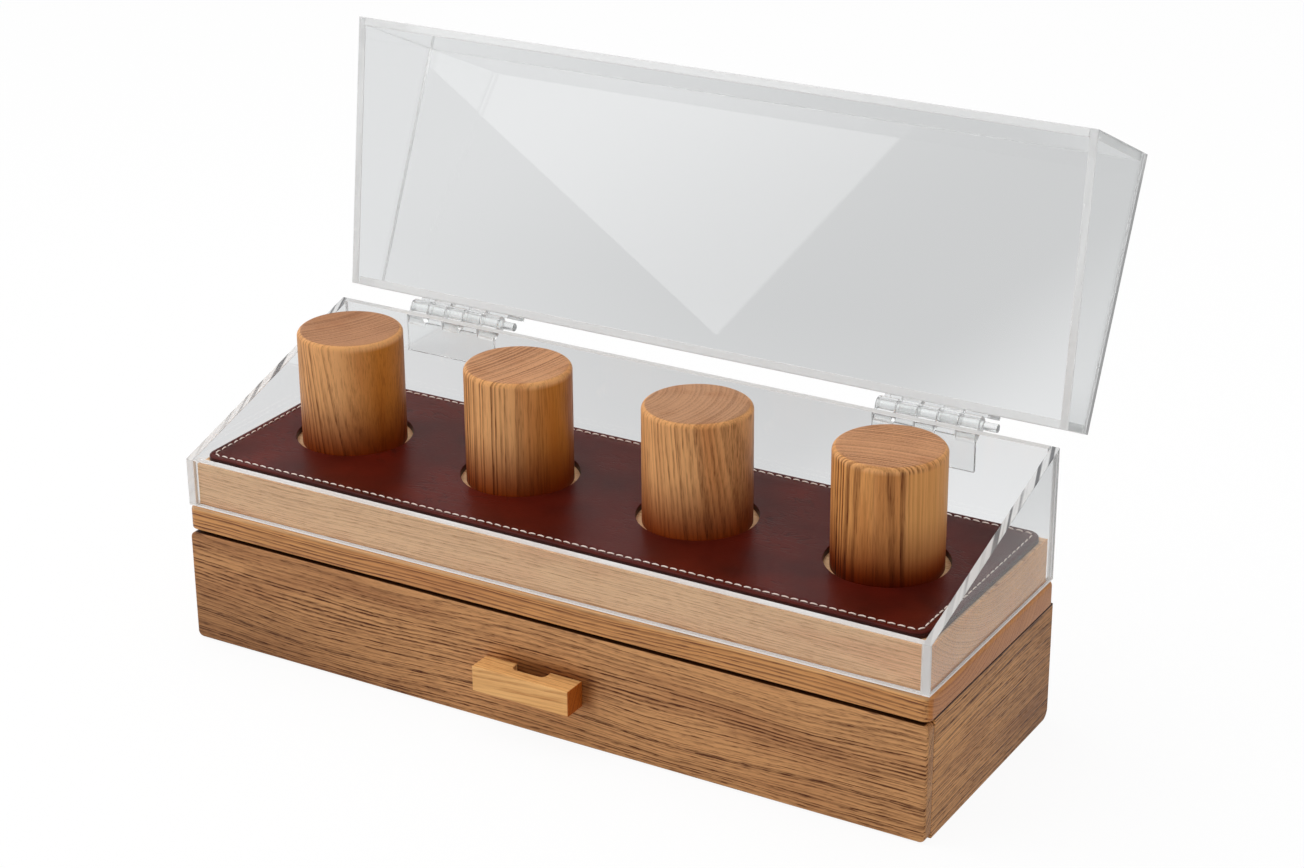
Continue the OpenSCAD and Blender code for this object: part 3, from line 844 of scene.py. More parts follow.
# %% [markdown]
# Each post is cut from its own stick, so each shows another figure: straight
# stripes where the pith lay far away, bowed ones where it lay near, and arcs
# of rings on the top. The rings' direction on each top was read off the
# photograph, and the pith is placed on that side at the distance that gives
# the same bow. A stick is rarely cut true to its grain, so each has a small
# lean towards the front and a tilt to the side, turned about the middle of
# the post's height. Every post is painted darker towards its foot, a painted
# shade for the leather's shade and dark reflection there, and has a plainer,
# duller top with a painted highlight on its rim. Painted shade runs down the
# right of two of them, and three bands of tone down the last.

# %% Four posts
POST_CENTRES = (-141.45, -47.15, 47.15, 141.45)
POST_RIM = 2.5 * MM
POST_MIDDLE = 119
STICK_LENGTH = 210
POST_SHINE = 0.12
POST_RIPPLE = 0.4
POST_FIGURE = (0.3, 25, 0.3, 8, 0.5, 1.1)
BELOW_RIM = ("Z", 0, 144.5, 2)
TOP_FACE = ("Z", 146.9, 147.15, 1.0)
# Painted shade: a darker band down the right side of posts 1 and 2.
RIGHT_SIDE_SHADE = (0.71, 0.52, 0.22, 1)
DARK_STRIP = (0.78, 0.65, 0.50, 1)
DARK_SIDE = (0.93, 0.84, 0.66, 1)
PALE_SIDE = colour(232, 164, 94)
POST_STAINS_AND_SHADES = (
    # Painted shade: every post darker towards its foot, for the leather's shade and dark reflection.
    ("Z", 125, 88, 1.0, (0.32, 0.08, 0.0, 1)),
    # Painted highlight: a paler band on the rounded rim.
    ("Z", 144.8, 146.0, 0.35, colour(214, 154, 92), "MIX"),
    (*TOP_FACE, (0.77, 0.77, 0.97, 1)),
)
POST_FACTS = ("pith_way", "pith_far", "ring", "lean", "tilt", "bend", "share", "calm", "streaks", "stains_and_shades")
POSTS = (
    (155, 80, 2.2, 3, 6, 1.5, 0.6, (96, 104), ((16, 60, 14, 1.0, RIGHT_SIDE_SHADE),),
     ((*TOP_FACE, (0.82, 0.80, 0.82, 1)),)),
    (168, 150, 2.7, 0, 0, 1.5, 0.95, (167, 175), ((17, 60, 14, 1.0, RIGHT_SIDE_SHADE),), ()),
    (187, 45, 2.2, 2, 4, 1.5, 0.55, (68, 80), (), ((*TOP_FACE, (0.87, 0.92, 1.0, 1)),)),
    (-80, 110, 1.8, -1, 0, 1.0, 1.0, (86, 85),
     ((-60, 5, 3, 1.0, DARK_SIDE), (5, 17, 3, 1.0, DARK_STRIP), (17, 60, 2, 0.75, PALE_SIDE, "MIX")),
     # Painted shade: more darkening towards post 4's foot.
     (("Z", 106, 91, 1.0, (0.50, 0.26, 0.08, 1)),)),
)


def post_wood(number, centre, facts):
    """Upright grain whose pith lies outside the post, the given way and distance."""
    way = math.radians(facts["pith_way"])
    turn = (math.radians(facts["lean"]), math.radians(90 + facts["tilt"]), 0)
    pith = (facts["pith_far"] * math.sin(way), -facts["pith_far"] * math.cos(way))
    upright = POST_MIDDLE * math.sin(turn[0])
    aside = centre * math.sin(turn[1]) - POST_MIDDLE * math.cos(turn[0]) * math.cos(turn[1])
    streaks = [((("X", centre + starts, centre + ends, soft), BELOW_RIM), *rest)
               for starts, ends, soft, *rest in facts["streaks"]]
    stick = (facts["ring"], *pith, facts["bend"], POST_RIPPLE, facts["share"], *POST_FIGURE, *facts["calm"])
    return add_wood(f"honey_oak_post_{number}", HONEY, turn, (number * STICK_LENGTH, upright, aside), stick,
                    shine=POST_SHINE, stains_and_shades=POST_STAINS_AND_SHADES + facts["stains_and_shades"], streaks=streaks)


for number, (centre, facts) in enumerate(zip(POST_CENTRES, POSTS), start=1):
    node = f"watch_post_{number}"
    low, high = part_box(node)
    post = grow(node + "_turned", post_tree, {
        "Radius": (high.y - low.y) / 2, "Height": high.z - low.z, "Rim": POST_RIM,
        "Place": (centre * MM, (low.y + high.y) / 2, low.z),
        "Material": post_wood(number, centre, dict(zip(POST_FACTS, facts)))})
    settle(post, "case", "honey_oak", None, node)
    print(post.name, len(post.data.polygons), "faces")

# %% [markdown]
# The leather pad is two layers glued together and stitched round: a rounded
# top edge, a fine groove between the layers, and a shallow furrow that the
# stitches pull in. Four round holes let the posts through. It is built from
# rings round the outside and round each hole, and the top between them is
# filled with a fine triangle net that rises and falls by less than a tenth of
# a millimetre, as leather does, so that its gloss is never quite even. It was
# laid by hand, a little to the left and back of the middle, and its cut edge
# is browner and duller than the dyed face.

# %% Outlines round a rounded rectangle
CORNER_STEPS = 8
CORNERS = ((1, 1), (-1, 1), (-1, -1), (1, -1))


def outline(length, depth, corner, inset, spacing):
    """Points round a rounded rectangle drawn in by inset, anticlockwise; its sides are cut every spacing."""
    radius = max(corner - inset, 0.0)
    half_length = length / 2 - inset - radius
    half_depth = depth / 2 - inset - radius
    points = []
    for quarter, (side_x, side_y) in enumerate(CORNERS):
        for step in range(CORNER_STEPS + 1):
            angle = (quarter + step / CORNER_STEPS) * math.pi / 2
            points.append((side_x * half_length + radius * math.cos(angle),
                           side_y * half_depth + radius * math.sin(angle)))
        run = (length if quarter % 2 == 0 else depth) - 2 * corner
        cuts = round(run / spacing)
        last = points[-1]
        long, deep = ((-2, 0), (0, -2), (2, 0), (0, 2))[quarter]
        points += [(last[0] + long * half_length * c / cuts, last[1] + deep * half_depth * c / cuts)
                   for c in range(1, cuts)]
    return points


def bridge(work, rings):
    """Quads between closed rings of the same count, each to the next."""
    for lower, upper in zip(rings, rings[1:]):
        for i in range(len(lower)):
            j = (i + 1) % len(lower)
            work.faces.new((lower[i], lower[j], upper[j], upper[i]))


print("a corner is drawn in", CORNER_STEPS, "steps")

# %% Leather pad
PAD_CORNER = 7 * MM
PAD_PLACE = ((0.2, -1.2), (1.5, -0.1))
PAD_CUT = 5 * MM
PAD_EDGE = ((0.25, 0.0), (0.0, 0.3), (0.0, 1.25), (0.28, 1.5), (0.0, 1.75), (0.05, 2.4), (0.45, 2.84),
            (1.2, 2.98), (2.2, 2.96), (2.8, 2.84), (3.3, 2.72), (3.8, 2.84), (4.6, 2.95))
PAD_CREASE = math.radians(50)
HOLE_RADIUS = 27.75 * MM
HOLE_STEPS = 72
HOLE_EDGE = ((0.0, 0.0), (0.0, 2.55), (0.25, 2.9), (0.9, 2.95))
HOLE_CLEAR = 2 * MM
NET = 4 * MM
NET_CLOSE = 1e-7
TOP_SUNK = (0.05 * MM, 0.02 * MM)
WAVE = 0.07 * MM
WAVE_LIMIT = 0.9
WAVE_SHARE = 0.7
LONG_WAVES = (22, 40, 0.0)
SHORT_WAVES = (90, 90, 5.0)
SHORT_WAVE_SHARE = 0.4


def fill_between(work, outer, holes, inner_points, height):
    """Triangles between a closed ring of verts and round holes, through extra points."""
    rings = [outer, *holes]
    verts = [v for ring in rings for v in ring]
    flat = [v.co.to_2d() for v in verts]
    edges = []
    start = 0
    for ring in rings:
        edges += [(start + i, start + (i + 1) % len(ring)) for i in range(len(ring))]
        start += len(ring)
    flat += [Vector(p) for p in inner_points]
    found, _, triangles, sources, _, _ = geometry.delaunay_2d_cdt(flat, edges, [], 0, NET_CLOSE)
    made = []
    for place, source in zip(found, sources):
        kept = [s for s in source if s < len(verts)]
        made.append(verts[kept[0]] if kept else work.verts.new((place.x, place.y, height(place))))
    centres = [sum((v.co.to_2d() for v in hole), Vector((0, 0))) / len(hole) for hole in holes]
    radii = [(hole[0].co.to_2d() - centre).length for hole, centre in zip(holes, centres)]
    for triangle in triangles:
        middle = sum((found[i] for i in triangle), Vector((0, 0))) / 3
        if all((middle - c).length > r for c, r in zip(centres, radii)):
            work.faces.new([made[i] for i in triangle])


def pad_box():
    """The pad's corners: it lies a little left and back of the middle on the plinth."""
    low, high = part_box("leather_pad")
    (left, right), (front, rear) = PAD_PLACE
    return low + Vector((left, front, 0.0)) * MM, high + Vector((right, rear, 0.0)) * MM


def steps_between(start, end, step):
    """Numbers from start up to end."""
    values = []
    while start < end:
        values.append(start)
        start += step
    return values


def make_pad():
    """The pad's edge, its holes, and the waved net between them."""
    low, high = pad_box()
    size, middle = high - low, (low + high) / 2
    centres = [Vector((c * MM, 0)) for c in POST_CENTRES]
    turns = [i / HOLE_STEPS * math.tau for i in range(HOLE_STEPS)]
    work = bmesh.new()

    def ring(points, centre, up):
        return [work.verts.new((x + centre.x, y + centre.y, low.z + up * MM)) for x, y in points]

    edge = [ring(outline(size.x, size.y, PAD_CORNER, inset * MM, PAD_CUT), middle, up)
            for inset, up in PAD_EDGE]
    bridge(work, edge)
    walls = []
    for centre in centres:
        wall = []
        for out, up in HOLE_EDGE:
            radius = HOLE_RADIUS + out * MM
            wall.append(ring([(radius * math.cos(t), radius * math.sin(t)) for t in turns], centre, up))
        bridge(work, wall)
        walls.append(wall)
    inner = PAD_EDGE[-1][0] * MM + NET / 2
    net = [(x, y) for x in steps_between(low.x + inner, high.x - inner, NET)
           for y in steps_between(low.y + inner, high.y - inner, NET)
           if all((Vector((x, y)) - c).length > HOLE_RADIUS + HOLE_CLEAR for c in centres)]

    def top_height(place):
        long, short = (noise.noise(Vector((place.x * across, place.y * deep, offset)))
                       for across, deep, offset in (LONG_WAVES, SHORT_WAVES))
        wave = min(long + SHORT_WAVE_SHARE * short, WAVE_LIMIT)
        return high.z - TOP_SUNK[0] + wave * WAVE * WAVE_SHARE - TOP_SUNK[1]

    fill_between(work, edge[-1], [w[-1] for w in walls], net, top_height)
    fill_between(work, edge[0], [w[0] for w in walls], [], lambda place: low.z)
    pad = add_object("leather_pad_sewn", write_faces(work, bpy.data.meshes.new("leather_pad_sewn")))
    return cut_smooth(pad, PAD_CREASE)


LEATHER = colour(96, 25, 13)
LEATHER_DARK = colour(62, 13, 8)
LEATHER_EDGE = ("Z", 93.25, 92.95, 1.0, colour(58, 24, 18), "MIX")
CREASE_SHADE = colour(34, 9, 7)
CREASE_SHADE_SHARE = 0.6
CREASE_TURN = (0, 0, math.radians(25))
CREASE_SCALE = (60, 170, 60)
CREASE_BEND = 1.2
CREASE_WIDTH = 0.03
CREASED_PLACES = (0.48, 0.60)
LEATHER_SCALES = {"pebbles": 1500.0, "grain": 700.0, "dye": 28.0}
LEATHER_RELIEF = {"pebbles": -0.5, "grain": 0.6, "creases": -1.2}
LEATHER_BUMP = (0.35, 0.12 * MM)
LEATHER_ROUGHNESS = (0.14, 0.26)
LEATHER_SHINE = {"IOR": 1.5, "Specular IOR Level": 0.14}
PATCHES = (0.3, 0.7)


def leather_material():
    """Smooth calf leather: a fine pebble grain, a few long creases and uneven dye."""
    material, place = new_material("calf_leather")
    pebbles = add("TexVoronoi", {"Vector": place, "Scale": LEATHER_SCALES["pebbles"]}, feature="F1")
    grainy = noise_at(place, LEATHER_SCALES["grain"], 3.0)
    cloudy = noise_at(place, LEATHER_SCALES["dye"], 3.0)
    stretched = add("Mapping", {"Vector": place, "Rotation": CREASE_TURN, "Scale": CREASE_SCALE})
    crease = noise_at(stretched, 1.0, 2.0, Distortion=CREASE_BEND)
    fold = between(calculate("ABSOLUTE", minus(crease, 0.5)), 0.0, CREASE_WIDTH)
    line = times(minus(1.0, fold), between(cloudy, *CREASED_PLACES))
    height = times_plus(pebbles, LEATHER_RELIEF["pebbles"], times(grainy, LEATHER_RELIEF["grain"]))
    height = times_plus(line, LEATHER_RELIEF["creases"], height)
    tint = mix_colour(between(cloudy, *PATCHES), LEATHER_DARK, LEATHER)
    # Painted shade: the creases are darkened in colour, besides being sunk by the bump.
    tint = mix_colour(times(line, CREASE_SHADE_SHARE), tint, CREASE_SHADE)
    tint = stain_or_shade(tint, place, *LEATHER_EDGE)
    end_surface(height, *LEATHER_BUMP, {
        "Base Color": tint, "Roughness": times_plus(grainy, *LEATHER_ROUGHNESS), **LEATHER_SHINE})
    return material


pad = settle(make_pad(), "case", "dark_leather", leather_material(), "leather_pad")
print("pad", [round(v * 1000, 2) for v in pad.dimensions], "mm,", len(pad.data.polygons), "faces")

# %% [markdown]
# The seam runs 3.3 mm inside the pad's edge: about two hundred short stitches
# of pale waxed thread, each rising out of one hole and diving into the next.
# Geometry Nodes lay points along a rounded rectangle and set a stitch on each,
# turned along the seam. A fixed seed gives each one a slightly different lie.

# %% Stitches
SEAM_INSET = 3.3 * MM
SEAM_SUNK = 0.12 * MM
SEAM_INPUTS = {
    "Length": 0.36, "Depth": 0.1, "Corner": 3.7 * MM, "Pitch": 4.52 * MM, "Stitch": 3.4 * MM,
    "Thread": 0.33 * MM, "Arch": 0.25 * MM, "Place": AXIS, "Seed": 7, "Material": None,
}
STITCH_POINTS = 7
SEAM_CORNER_STEPS = THREAD_SIDES = 6
STITCH_TAPER = -0.45
STITCH_LIE = (0.05, 0.04, 0.07)
THREAD = colour(255, 246, 238)
THREAD_SOILED = colour(244, 222, 208)
TWIST_SCALE, SOIL_SCALE = 2600.0, 60.0
THREAD_BUMP = (0.3, 0.1 * MM)
THREAD_ROUGHNESS = 0.6


def build_seam_tree():
    """Arched stitches set along a rounded rectangle."""
    tree, given = new_shape_tree("sewn_seam", SEAM_INPUTS)
    path = add("CurvePrimitiveQuadrilateral", {"Width": given["Length"], "Height": given["Depth"]})
    rounded = add("FilletCurve", {
        "Curve": path, "Radius": given["Corner"], "Count": SEAM_CORNER_STEPS}, mode="POLY")
    holes = add("CurveToPoints", {"Curve": rounded, "Length": given["Pitch"]}, mode="LENGTH")
    half = times(given["Stitch"], 0.5)
    line = add("MeshLine", {
        "Count": STITCH_POINTS, "Start Location": vector_of(tree, x=times(half, -1.0)),
        "Offset": vector_of(tree, x=half)}, mode="END_POINTS")
    along = axes_of(add("InputPosition", tree=tree))[0]
    share = over(along, half)
    share = times(share, share)
    rise = times(minus(1.0, share), given["Arch"])
    bent = add("SetPosition", {"Geometry": line, "Offset": vector_of(tree, z=rise)})
    curve = add("MeshToCurve", {0: bent})
    ring = add("CurvePrimitiveCircle", {"Resolution": THREAD_SIDES, "Radius": given["Thread"]})
    thin = times_plus(times(share, share), STITCH_TAPER, 1.0)
    tapered = add("SetCurveRadius", {"Curve": curve, "Radius": thin})
    stitch = add("CurveToMesh", {"Curve": tapered, "Profile Curve": ring, "Scale": thin, "Fill Caps": True})
    along_seam = add("AlignRotationToVector", {"Vector": holes.outputs["Tangent"]}, axis="X")
    lie = add("RandomValue", {
        "Min": tuple(-v for v in STITCH_LIE), "Max": STITCH_LIE, "Seed": given["Seed"]},
        data_type="FLOAT_VECTOR")
    turned = add("RotateRotation", {"Rotation": along_seam, "Rotate By": lie}, rotation_space="LOCAL")
    sewn = add("InstanceOnPoints", {
        "Points": holes.outputs["Points"], "Instance": stitch, "Rotation": turned})
    return end_shape_tree(moved(sewn, given["Place"]), given["Material"])


def thread_material():
    """Waxed thread: pale, with the fine twist of its plies."""
    material, place = new_material("waxed_thread")
    twist = noise_at(place, TWIST_SCALE, 1.0)
    soil = between(noise_at(place, SOIL_SCALE, 2.0), *PATCHES)
    end_surface(twist, *THREAD_BUMP, {
        "Base Color": mix_colour(soil, THREAD_SOILED, THREAD), "Roughness": THREAD_ROUGHNESS})
    return material


pad_low, pad_high = pad_box()
seam_place = (pad_low + pad_high) / 2
seam_place.z = pad_high.z - SEAM_SUNK
seam = grow("seam_stitches", build_seam_tree(), {
    "Length": pad_high.x - pad_low.x - 2 * SEAM_INSET, "Depth": pad_high.y - pad_low.y - 2 * SEAM_INSET,
    "Place": tuple(seam_place), "Material": thread_material()})
settle(seam, "case", "lining_cloth")
print("seam:", len(seam.data.polygons), "faces")

# %% [markdown]
# The clear case is 4 mm cast acrylic, glued edge to edge. Its look is in its
# edges: light that enters a sheet travels inside it and leaves at the edge,
# which is why every edge shines white. A true refracting solid does that by
# itself. Each sheet is a softened copy of the CAD one, drawn in by a hair so
# that no two faces lie in one plane, and shadow rays pass straight through,
# so that the wood behind stays bright without slow caustics. The edges were
# sawn and lightly polished, so they scatter some of that light and look white.
# The walls' ends are hazier than that, the slanted rims carry painted dark
# slanting bars as a painted reflection, and the faces underneath and a thin
# strip along each wall's foot are matte white, a painted reflection of the
# light inside the sheet. Each of these is its own material, given to the faces
# at the edges.

# %% Clear acrylic
ACRYLIC_TINT = (0.985, 0.992, 0.992, 1)
ACRYLIC_SHADE = (0.93, 0.94, 0.94, 1)
ACRYLIC_IOR = 1.49
SMEARS = 9.0
SMEAR_BEND = 0.6
SMEAR_EDGE = (0.45, 0.75)
SMEARED = 0.02
BAR_SLANT = (300.0, 90.0, 0.0)
BAR_EDGE = (0.50, 0.58)
BAR_HEIGHTS = (100 * MM, 115 * MM, 0.25, 1.0)
# Painted reflection: dark slanting bars near the top of the slanted rims.
REFLECTED_BAR_TINT = (0.10, 0.10, 0.11, 1)
# Painted reflection: a matte white for the faces underneath and the strip along each wall's foot.
WHITE_UNDERSIDE_TINT = (0.995, 0.955, 0.93, 1)
SHEET_EASE = 0.3 * MM
SHEET_SHRINK = 0.03 * MM
SHEET_THICK = 4 * MM
EDGE_WIDTH = 1.5 * SHEET_THICK
DOWN, UP, FORWARD, SQUARE = -0.5, 0.3, -0.1, 0.9
WHITE_FOOT_HEIGHT = 0.8 * MM


def acrylic_material(name, roughness, clear_share=1.0, reflected_bars=0.0, tint=ACRYLIC_TINT):
    """Refracting acrylic that lets shadow rays through. Less than all clear, it scatters white.

    Reflected bars are painted dark slanting bars along an edge, a painted reflection."""
    material, place = new_material(name)
    smear = noise_at(place, SMEARS, 4.0, Distortion=SMEAR_BEND)
    haze = between(smear, *SMEAR_EDGE, roughness, roughness + SMEARED)
    if reflected_bars:
        bars = noise_along(dot(place, BAR_SLANT), 1.0, 1.0)
        dark = times(between(bars, *BAR_EDGE), between(axes_of(place)[2], *BAR_HEIGHTS))
        tint = mix_colour(times(dark, reflected_bars), tint, REFLECTED_BAR_TINT)
    clear = add("BsdfPrincipled", {
        "Base Color": tint, "Roughness": haze, "IOR": ACRYLIC_IOR, "Transmission Weight": clear_share})
    passing = add("BsdfTransparent", {"Color": ACRYLIC_SHADE}, place.id_data)
    rays = add("LightPath", tree=place.id_data).outputs
    end_material(mix_shaders(rays["Is Shadow Ray"], clear, passing))
    return material


acrylic = acrylic_material("cast_acrylic", 0.0)
EDGES = (
    acrylic_material("sawn_acrylic_edge", 0.12, 0.5),
    acrylic_material("white_underside_acrylic_edge", 0.2, 0.0, tint=WHITE_UNDERSIDE_TINT),
    acrylic_material("barred_acrylic_edge", 0.12, 0.5, 0.9),
    acrylic_material("hazy_acrylic_edge", 0.6),
)
SAWN, WHITE_UNDERSIDE, BARRED, HAZY = range(1, 5)
SHEETS = {
    "case": ("acrylic_front_wall", "acrylic_back_wall", "acrylic_side_left", "acrylic_side_right"),
    "lid": ("lid_top", "lid_front", "lid_back_strip", "lid_side_left", "lid_side_right"),
}


def cut_white_foot(sheet):
    """Cuts a strip off the sheet's faces along its foot, for the painted white line there, and gives its top.
    """
    top = min(v.co.z for v in sheet.data.vertices) + WHITE_FOOT_HEIGHT
    work = bmesh.new()
    work.from_mesh(sheet.data)
    bmesh.ops.bisect_plane(work, geom=[*work.verts, *work.edges, *work.faces],
                           plane_co=(0, 0, top), plane_no=(0, 0, 1))
    work.to_mesh(sheet.data)
    work.free()
    return top


def edge_kind(face, white_foot_top, slanted, hazy_ends):
    """Which of the edges' materials a face takes, from where it lies and the way it looks."""
    # Painted reflection: faces underneath and the foot strip are matte white.
    if face.normal.z < DOWN or face.center.z < white_foot_top:
        return WHITE_UNDERSIDE
    if slanted and face.normal.z > UP and face.normal.y < FORWARD:
        return BARRED
    if hazy_ends and (abs(face.normal.x) > SQUARE or face.normal.y > SQUARE):
        return HAZY
    return SAWN


def mark_edges(sheet, *facts):
    """Gives every face that is no wider than the sheet is thick an edge's material."""
    for material in EDGES:
        sheet.data.materials.append(material)
    edges = 0
    for face in sheet.data.polygons:
        corners = [sheet.data.vertices[i].co for i in face.vertices]
        longest = max((a - b).length for a in corners for b in corners)
        if face.area / longest < EDGE_WIDTH:
            face.material_index = edge_kind(face, *facts)
            edges += 1
    return edges


for node, body in ((node, body) for body, nodes in SHEETS.items() for node in nodes):
    sheet = eased_copy(node, node + "_sheet", SHEET_EASE, shrink=SHEET_SHRINK)
    settle(sheet, body, "clear_acrylic", acrylic, node)
    white_foot_top = cut_white_foot(sheet) if body == "case" else 0.0
    hazy_ends = body == "case" and node != "acrylic_front_wall"
    edges = mark_edges(sheet, white_foot_top, "acrylic_side" in node, hazy_ends)
    print(sheet.name, len(sheet.data.polygons), "faces,", edges, "of them at the edges")

# %% [markdown]
# Two clear hinges join the lid to the back wall: flat leaves with knuckles
# that interlock round a clear pin. They are moulded, so their corners are a
# little rounder than a cut sheet's and their faces a little less even, which
# blurs what shows through them. The CAD leaves carry every knuckle already,
# and the same softened copy serves them.

# %% Hinges
HINGE_EASE = 0.2 * MM
HINGE_SHRINK = 0.01 * MM
moulded = acrylic_material("moulded_acrylic", 0.12, 0.95)
HINGES = (
    ("hinge_leaf_lower_left", "case"), ("hinge_leaf_lower_right", "case"),
    ("hinge_leaf_upper_left", "lid"), ("hinge_leaf_upper_right", "lid"),
    ("hinge_pin_left", "case"), ("hinge_pin_right", "case"),
)
for node, body in HINGES:
    part = eased_copy(node, node + "_moulded", HINGE_EASE, shrink=HINGE_SHRINK)
    settle(part, body, "clear_acrylic", moulded, node)
    print(part.name, len(part.data.polygons), "faces")

# %% [markdown]
# The drawer is lined with a thin dark cloth, laid flat on its floor. It can't
# be seen while the drawer is shut, but it shows when the drawer slides out, so
# it gets a woven surface: two sets of threads that pass over and under.

# %% Drawer lining
LINING_NET = 6 * MM
LINING_WAVE = 0.12 * MM
LINING_WAVES = 30
CLOTH = colour(74, 48, 42)
CLOTH_DARK = colour(44, 28, 25)
THREADS_PER_METRE = 1300.0
FUZZ_SCALE = 400.0
CLOTH_BUMP = (0.6, 0.2 * MM)
CLOTH_FINISH = {"Roughness": 0.85, "Sheen Weight": 0.3, "Sheen Roughness": 0.5}


def cloth_material():
    """Plain weave from two crossed waves, with a soft sheen."""
    material, place = new_material("lining_weave")
    waves = [calculate("SINE", times(axis, THREADS_PER_METRE * math.pi)) for axis in axes_of(place)[:2]]
    weave = times_plus(times(*waves), 0.5, 0.5)
    height = times_plus(noise_at(place, FUZZ_SCALE, 3.0), 0.5, weave)
    end_surface(height, *CLOTH_BUMP, {"Base Color": mix_colour(weave, CLOTH_DARK, CLOTH), **CLOTH_FINISH})
    return material


def make_lining():
    """A sheet of cloth, waved by a hair, with its cut edges closed."""
    low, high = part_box("drawer_lining")
    columns = round((high.x - low.x) / LINING_NET)
    rows = round((high.y - low.y) / LINING_NET)
    width = columns + 1
    points = []
    for side in (0, 1):
        for j in range(rows + 1):
            for i in range(width):
                x = low.x + (high.x - low.x) * i / columns
                y = low.y + (high.y - low.y) * j / rows
                wave = noise.noise(Vector((x * LINING_WAVES, y * LINING_WAVES, 2.0))) * LINING_WAVE
                points.append((x, y, high.z - LINING_WAVE + wave if side else low.z))
    upper = width * (rows + 1)
    faces = []
    for j in range(rows):
        for i in range(columns):
            a = j * width + i
            faces.append((a, a + width, a + width + 1, a + 1))
            faces.append(tuple(upper + k for k in (a, a + 1, a + width + 1, a + width)))
    rim = [*range(columns), *(j * width + columns for j in range(rows)),
           *(rows * width + i for i in range(columns, 0, -1)), *(j * width for j in range(rows, 0, -1))]
    faces += [(a, b, upper + b, upper + a) for a, b in zip(rim, rim[1:] + rim[:1])]
    return cut_smooth(new_piece("drawer_lining_cloth", points, faces))


lining = settle(make_lining(), "drawer", "lining_cloth", cloth_material(), "drawer_lining")
print("lining", [round(v * 1000, 1) for v in lining.dimensions], "mm")

# %% [markdown]
# The screws are hidden, apart from the pull's two heads inside the drawer. A
# countersunk wood screw is a cone, a shank and a spiral thread, with a cross
# cut in its face. One tree makes it and sets it on a row or a grid of points,
# so the plinth's, the posts' and the pull's screws differ only in numbers.

# %% Screws
SCREW_INPUTS = {
    "Length": 25 * MM, "Diameter": 4 * MM, "Head height": 2.4 * MM, "Plain length": 8 * MM,
    "Columns": 2, "Rows": 1, "Run across": 0.1, "Run deep": 0.1, "Turn": AXIS, "Place": AXIS,
    "Material": None,
}
THREAD_PITCH = 1.8 * MM
THREAD_CORE = 0.36
THREAD_STEPS = 14
SCREW_TIP = 0.1 * MM
TIP_SHARE = 1.2
HEAD_SIDES, SHANK_SIDES, RIDGE_SIDES = 32, 24, 4
CROSS = (0.62, 0.13)
CROSS_DEEP = -0.25
STEEL, STEEL_BRIGHT = colour(168, 168, 172), colour(206, 206, 208)
TURNING_MARKS = 900.0
STEEL_BUMP = (0.2, 0.05 * MM)
STEEL_ROUGHNESS = (0.2, 0.22)


def lift(shape, up):
    """The shape moved up its axis."""
    return moved(shape, vector_of(shape.id_data, z=up))


def screw_head(size, tall, core):
    """A cone with a cross cut in its face."""
    head = add("MeshCone", {
        "Vertices": HEAD_SIDES, "Radius Top": core, "Radius Bottom": size, "Depth": tall})
    blades = []
    for wide, deep in (CROSS, CROSS[::-1]):
        block = vector_of(size.id_data, x=times(size, 2 * wide), y=times(size, 2 * deep), z=tall)
        blades.append(lift(add("MeshCube", {"Size": block}), times(tall, CROSS_DEEP)))
    cut = add("MeshBoolean", {"Mesh 1": head, "Mesh 2": blades}, operation="DIFFERENCE", solver="EXACT")
    return lift(cut, 0.0)


def screw_thread(size, core, plain, threaded):
    """A spiral ridge from the end of the plain shank."""
    spiral = add("CurveSpiral", {
        "Resolution": THREAD_STEPS, "Rotations": over(threaded, THREAD_PITCH),
        "Start Radius": core, "End Radius": core, "Height": threaded})
    ridge = add("CurvePrimitiveCircle", {
        "Resolution": RIDGE_SIDES, "Radius": times(size, 0.5 - THREAD_CORE)})
    thread = add("CurveToMesh", {"Curve": spiral, "Profile Curve": ridge, "Fill Caps": True})
    return lift(thread, plain)


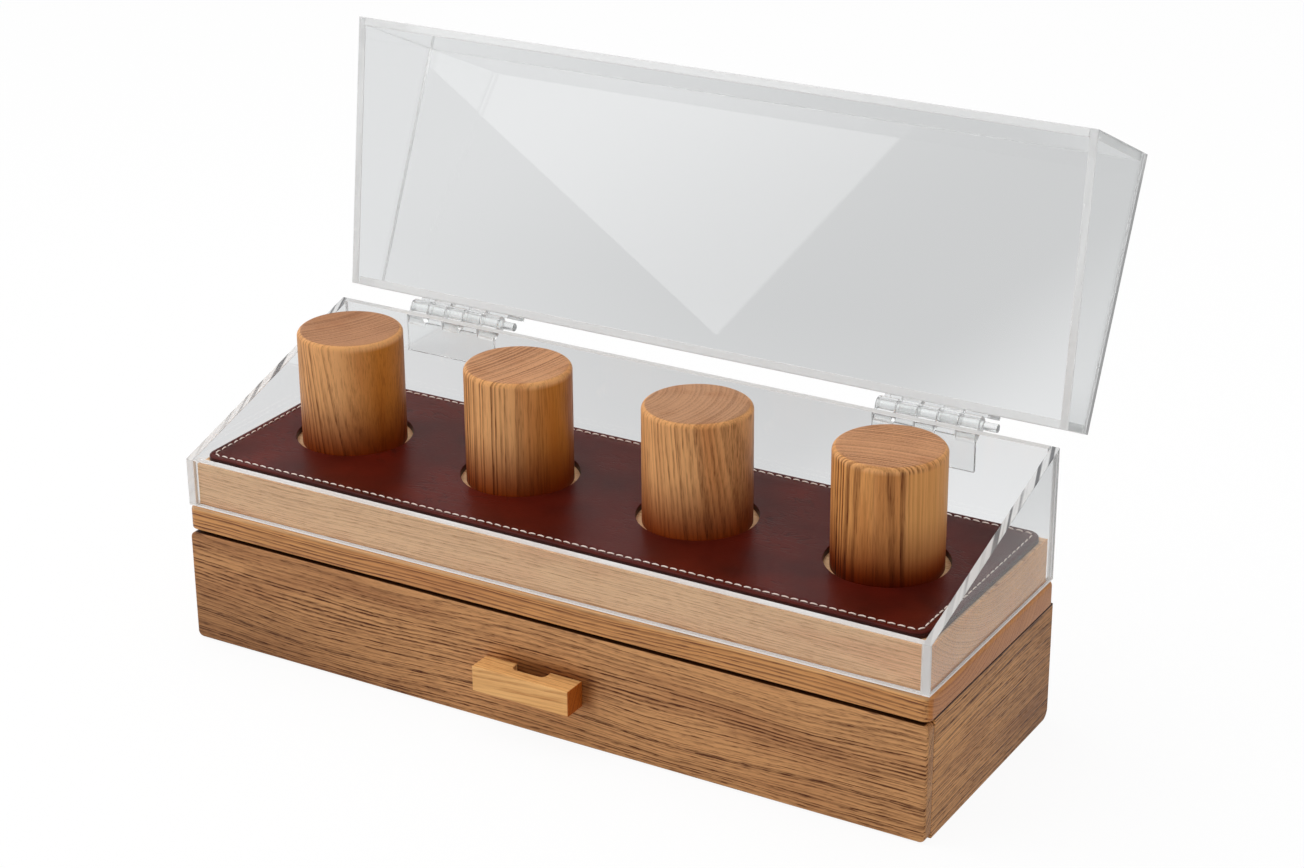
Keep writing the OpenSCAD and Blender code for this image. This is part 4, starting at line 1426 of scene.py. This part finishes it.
def build_screw_tree():
    """A countersunk screw with a spiral thread and a cross, on a grid of points."""
    _, given = new_shape_tree("wood_screws", SCREW_INPUTS)
    size, tall, length, plain = (given[k] for k in ("Diameter", "Head height", "Length", "Plain length"))
    core = times(size, THREAD_CORE)
    shank_long = minus(length, times(size, TIP_SHARE))
    shank = add("MeshCylinder", {"Vertices": SHANK_SIDES, "Radius": core, "Depth": minus(shank_long, tall)})
    tip = add("MeshCone", {
        "Vertices": SHANK_SIDES, "Radius Top": SCREW_TIP, "Radius Bottom": core,
        "Depth": minus(length, shank_long)})
    screw = add("JoinGeometry", {0: [
        screw_head(size, tall, core), lift(shank, times(plus(shank_long, tall), 0.5)),
        lift(tip, shank_long), screw_thread(size, core, plain, minus(shank_long, plain))]})
    spots = add("MeshGrid", {
        "Vertices X": given["Columns"], "Vertices Y": given["Rows"],
        "Size X": given["Run across"], "Size Y": given["Run deep"]})
    points = add("MeshToPoints", {0: spots})
    turned = add("Transform", {"Geometry": screw, "Rotation": given["Turn"]})
    driven = add("InstanceOnPoints", {"Points": points, "Instance": turned})
    return end_shape_tree(moved(driven, given["Place"]), given["Material"])


def steel_material():
    """Zinc-plated steel with fine turning marks."""
    material, place = new_material("zinc_steel")
    marks = noise_at(place, TURNING_MARKS, 3.0)
    end_surface(marks, *STEEL_BUMP, {
        "Base Color": mix_colour(marks, STEEL, STEEL_BRIGHT), "Metallic": 1.0,
        "Roughness": times_plus(marks, *STEEL_ROUGHNESS)})
    return material


plinth_low, plinth_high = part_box("plinth")
SCREW_SETS = (
    ("plinth_screws", "case", {
        "Length": 25 * MM, "Columns": 2, "Rows": 2, "Run across": 188.6 * MM, "Run deep": 80 * MM,
        "Plain length": 12 * MM,
        "Place": (0.0, (plinth_low.y + plinth_high.y) / 2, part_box("plinth_screws")[0].z)}),
    ("post_screws", "case", {
        "Length": 41.2 * MM, "Columns": 4, "Rows": 1, "Run across": 282.9 * MM,
        "Plain length": 21 * MM, "Place": (0.0, 0.0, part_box("post_screws")[0].z)}),
    ("pull_screws", "drawer", {
        "Length": 22 * MM, "Diameter": 3.5 * MM, "Head height": 2 * MM, "Columns": 2, "Rows": 1,
        "Run across": 34 * MM, "Plain length": 14 * MM, "Turn": (math.pi / 2, 0.0, 0.0),
        "Place": (0.0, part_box("pull_screws")[1].y, 27 * MM)}),
)
screw_tree = build_screw_tree()
steel = steel_material()
for node, body, values in SCREW_SETS:
    screws = grow(node + "_threaded", screw_tree, {**values, "Material": steel})
    settle(screws, body, "screw_steel", None, node)
    print(screws.name, len(screws.data.polygons), "faces,", round(values["Length"] * 1000, 1), "mm long")

# %% [markdown]
# The dressed model is meant to keep the CAD model's size, so both boxes are
# gathered here and their sizes printed.

# %% Sizes
bpy.context.view_layer.update()
boxes = {"cad": [list(corner) for corner in cad_box], "visual": [list(corner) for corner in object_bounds()]}
for key, (low, high) in boxes.items():
    print(key, [round((b - a) * 1000, 2) for a, b in zip(low, high)], "mm")
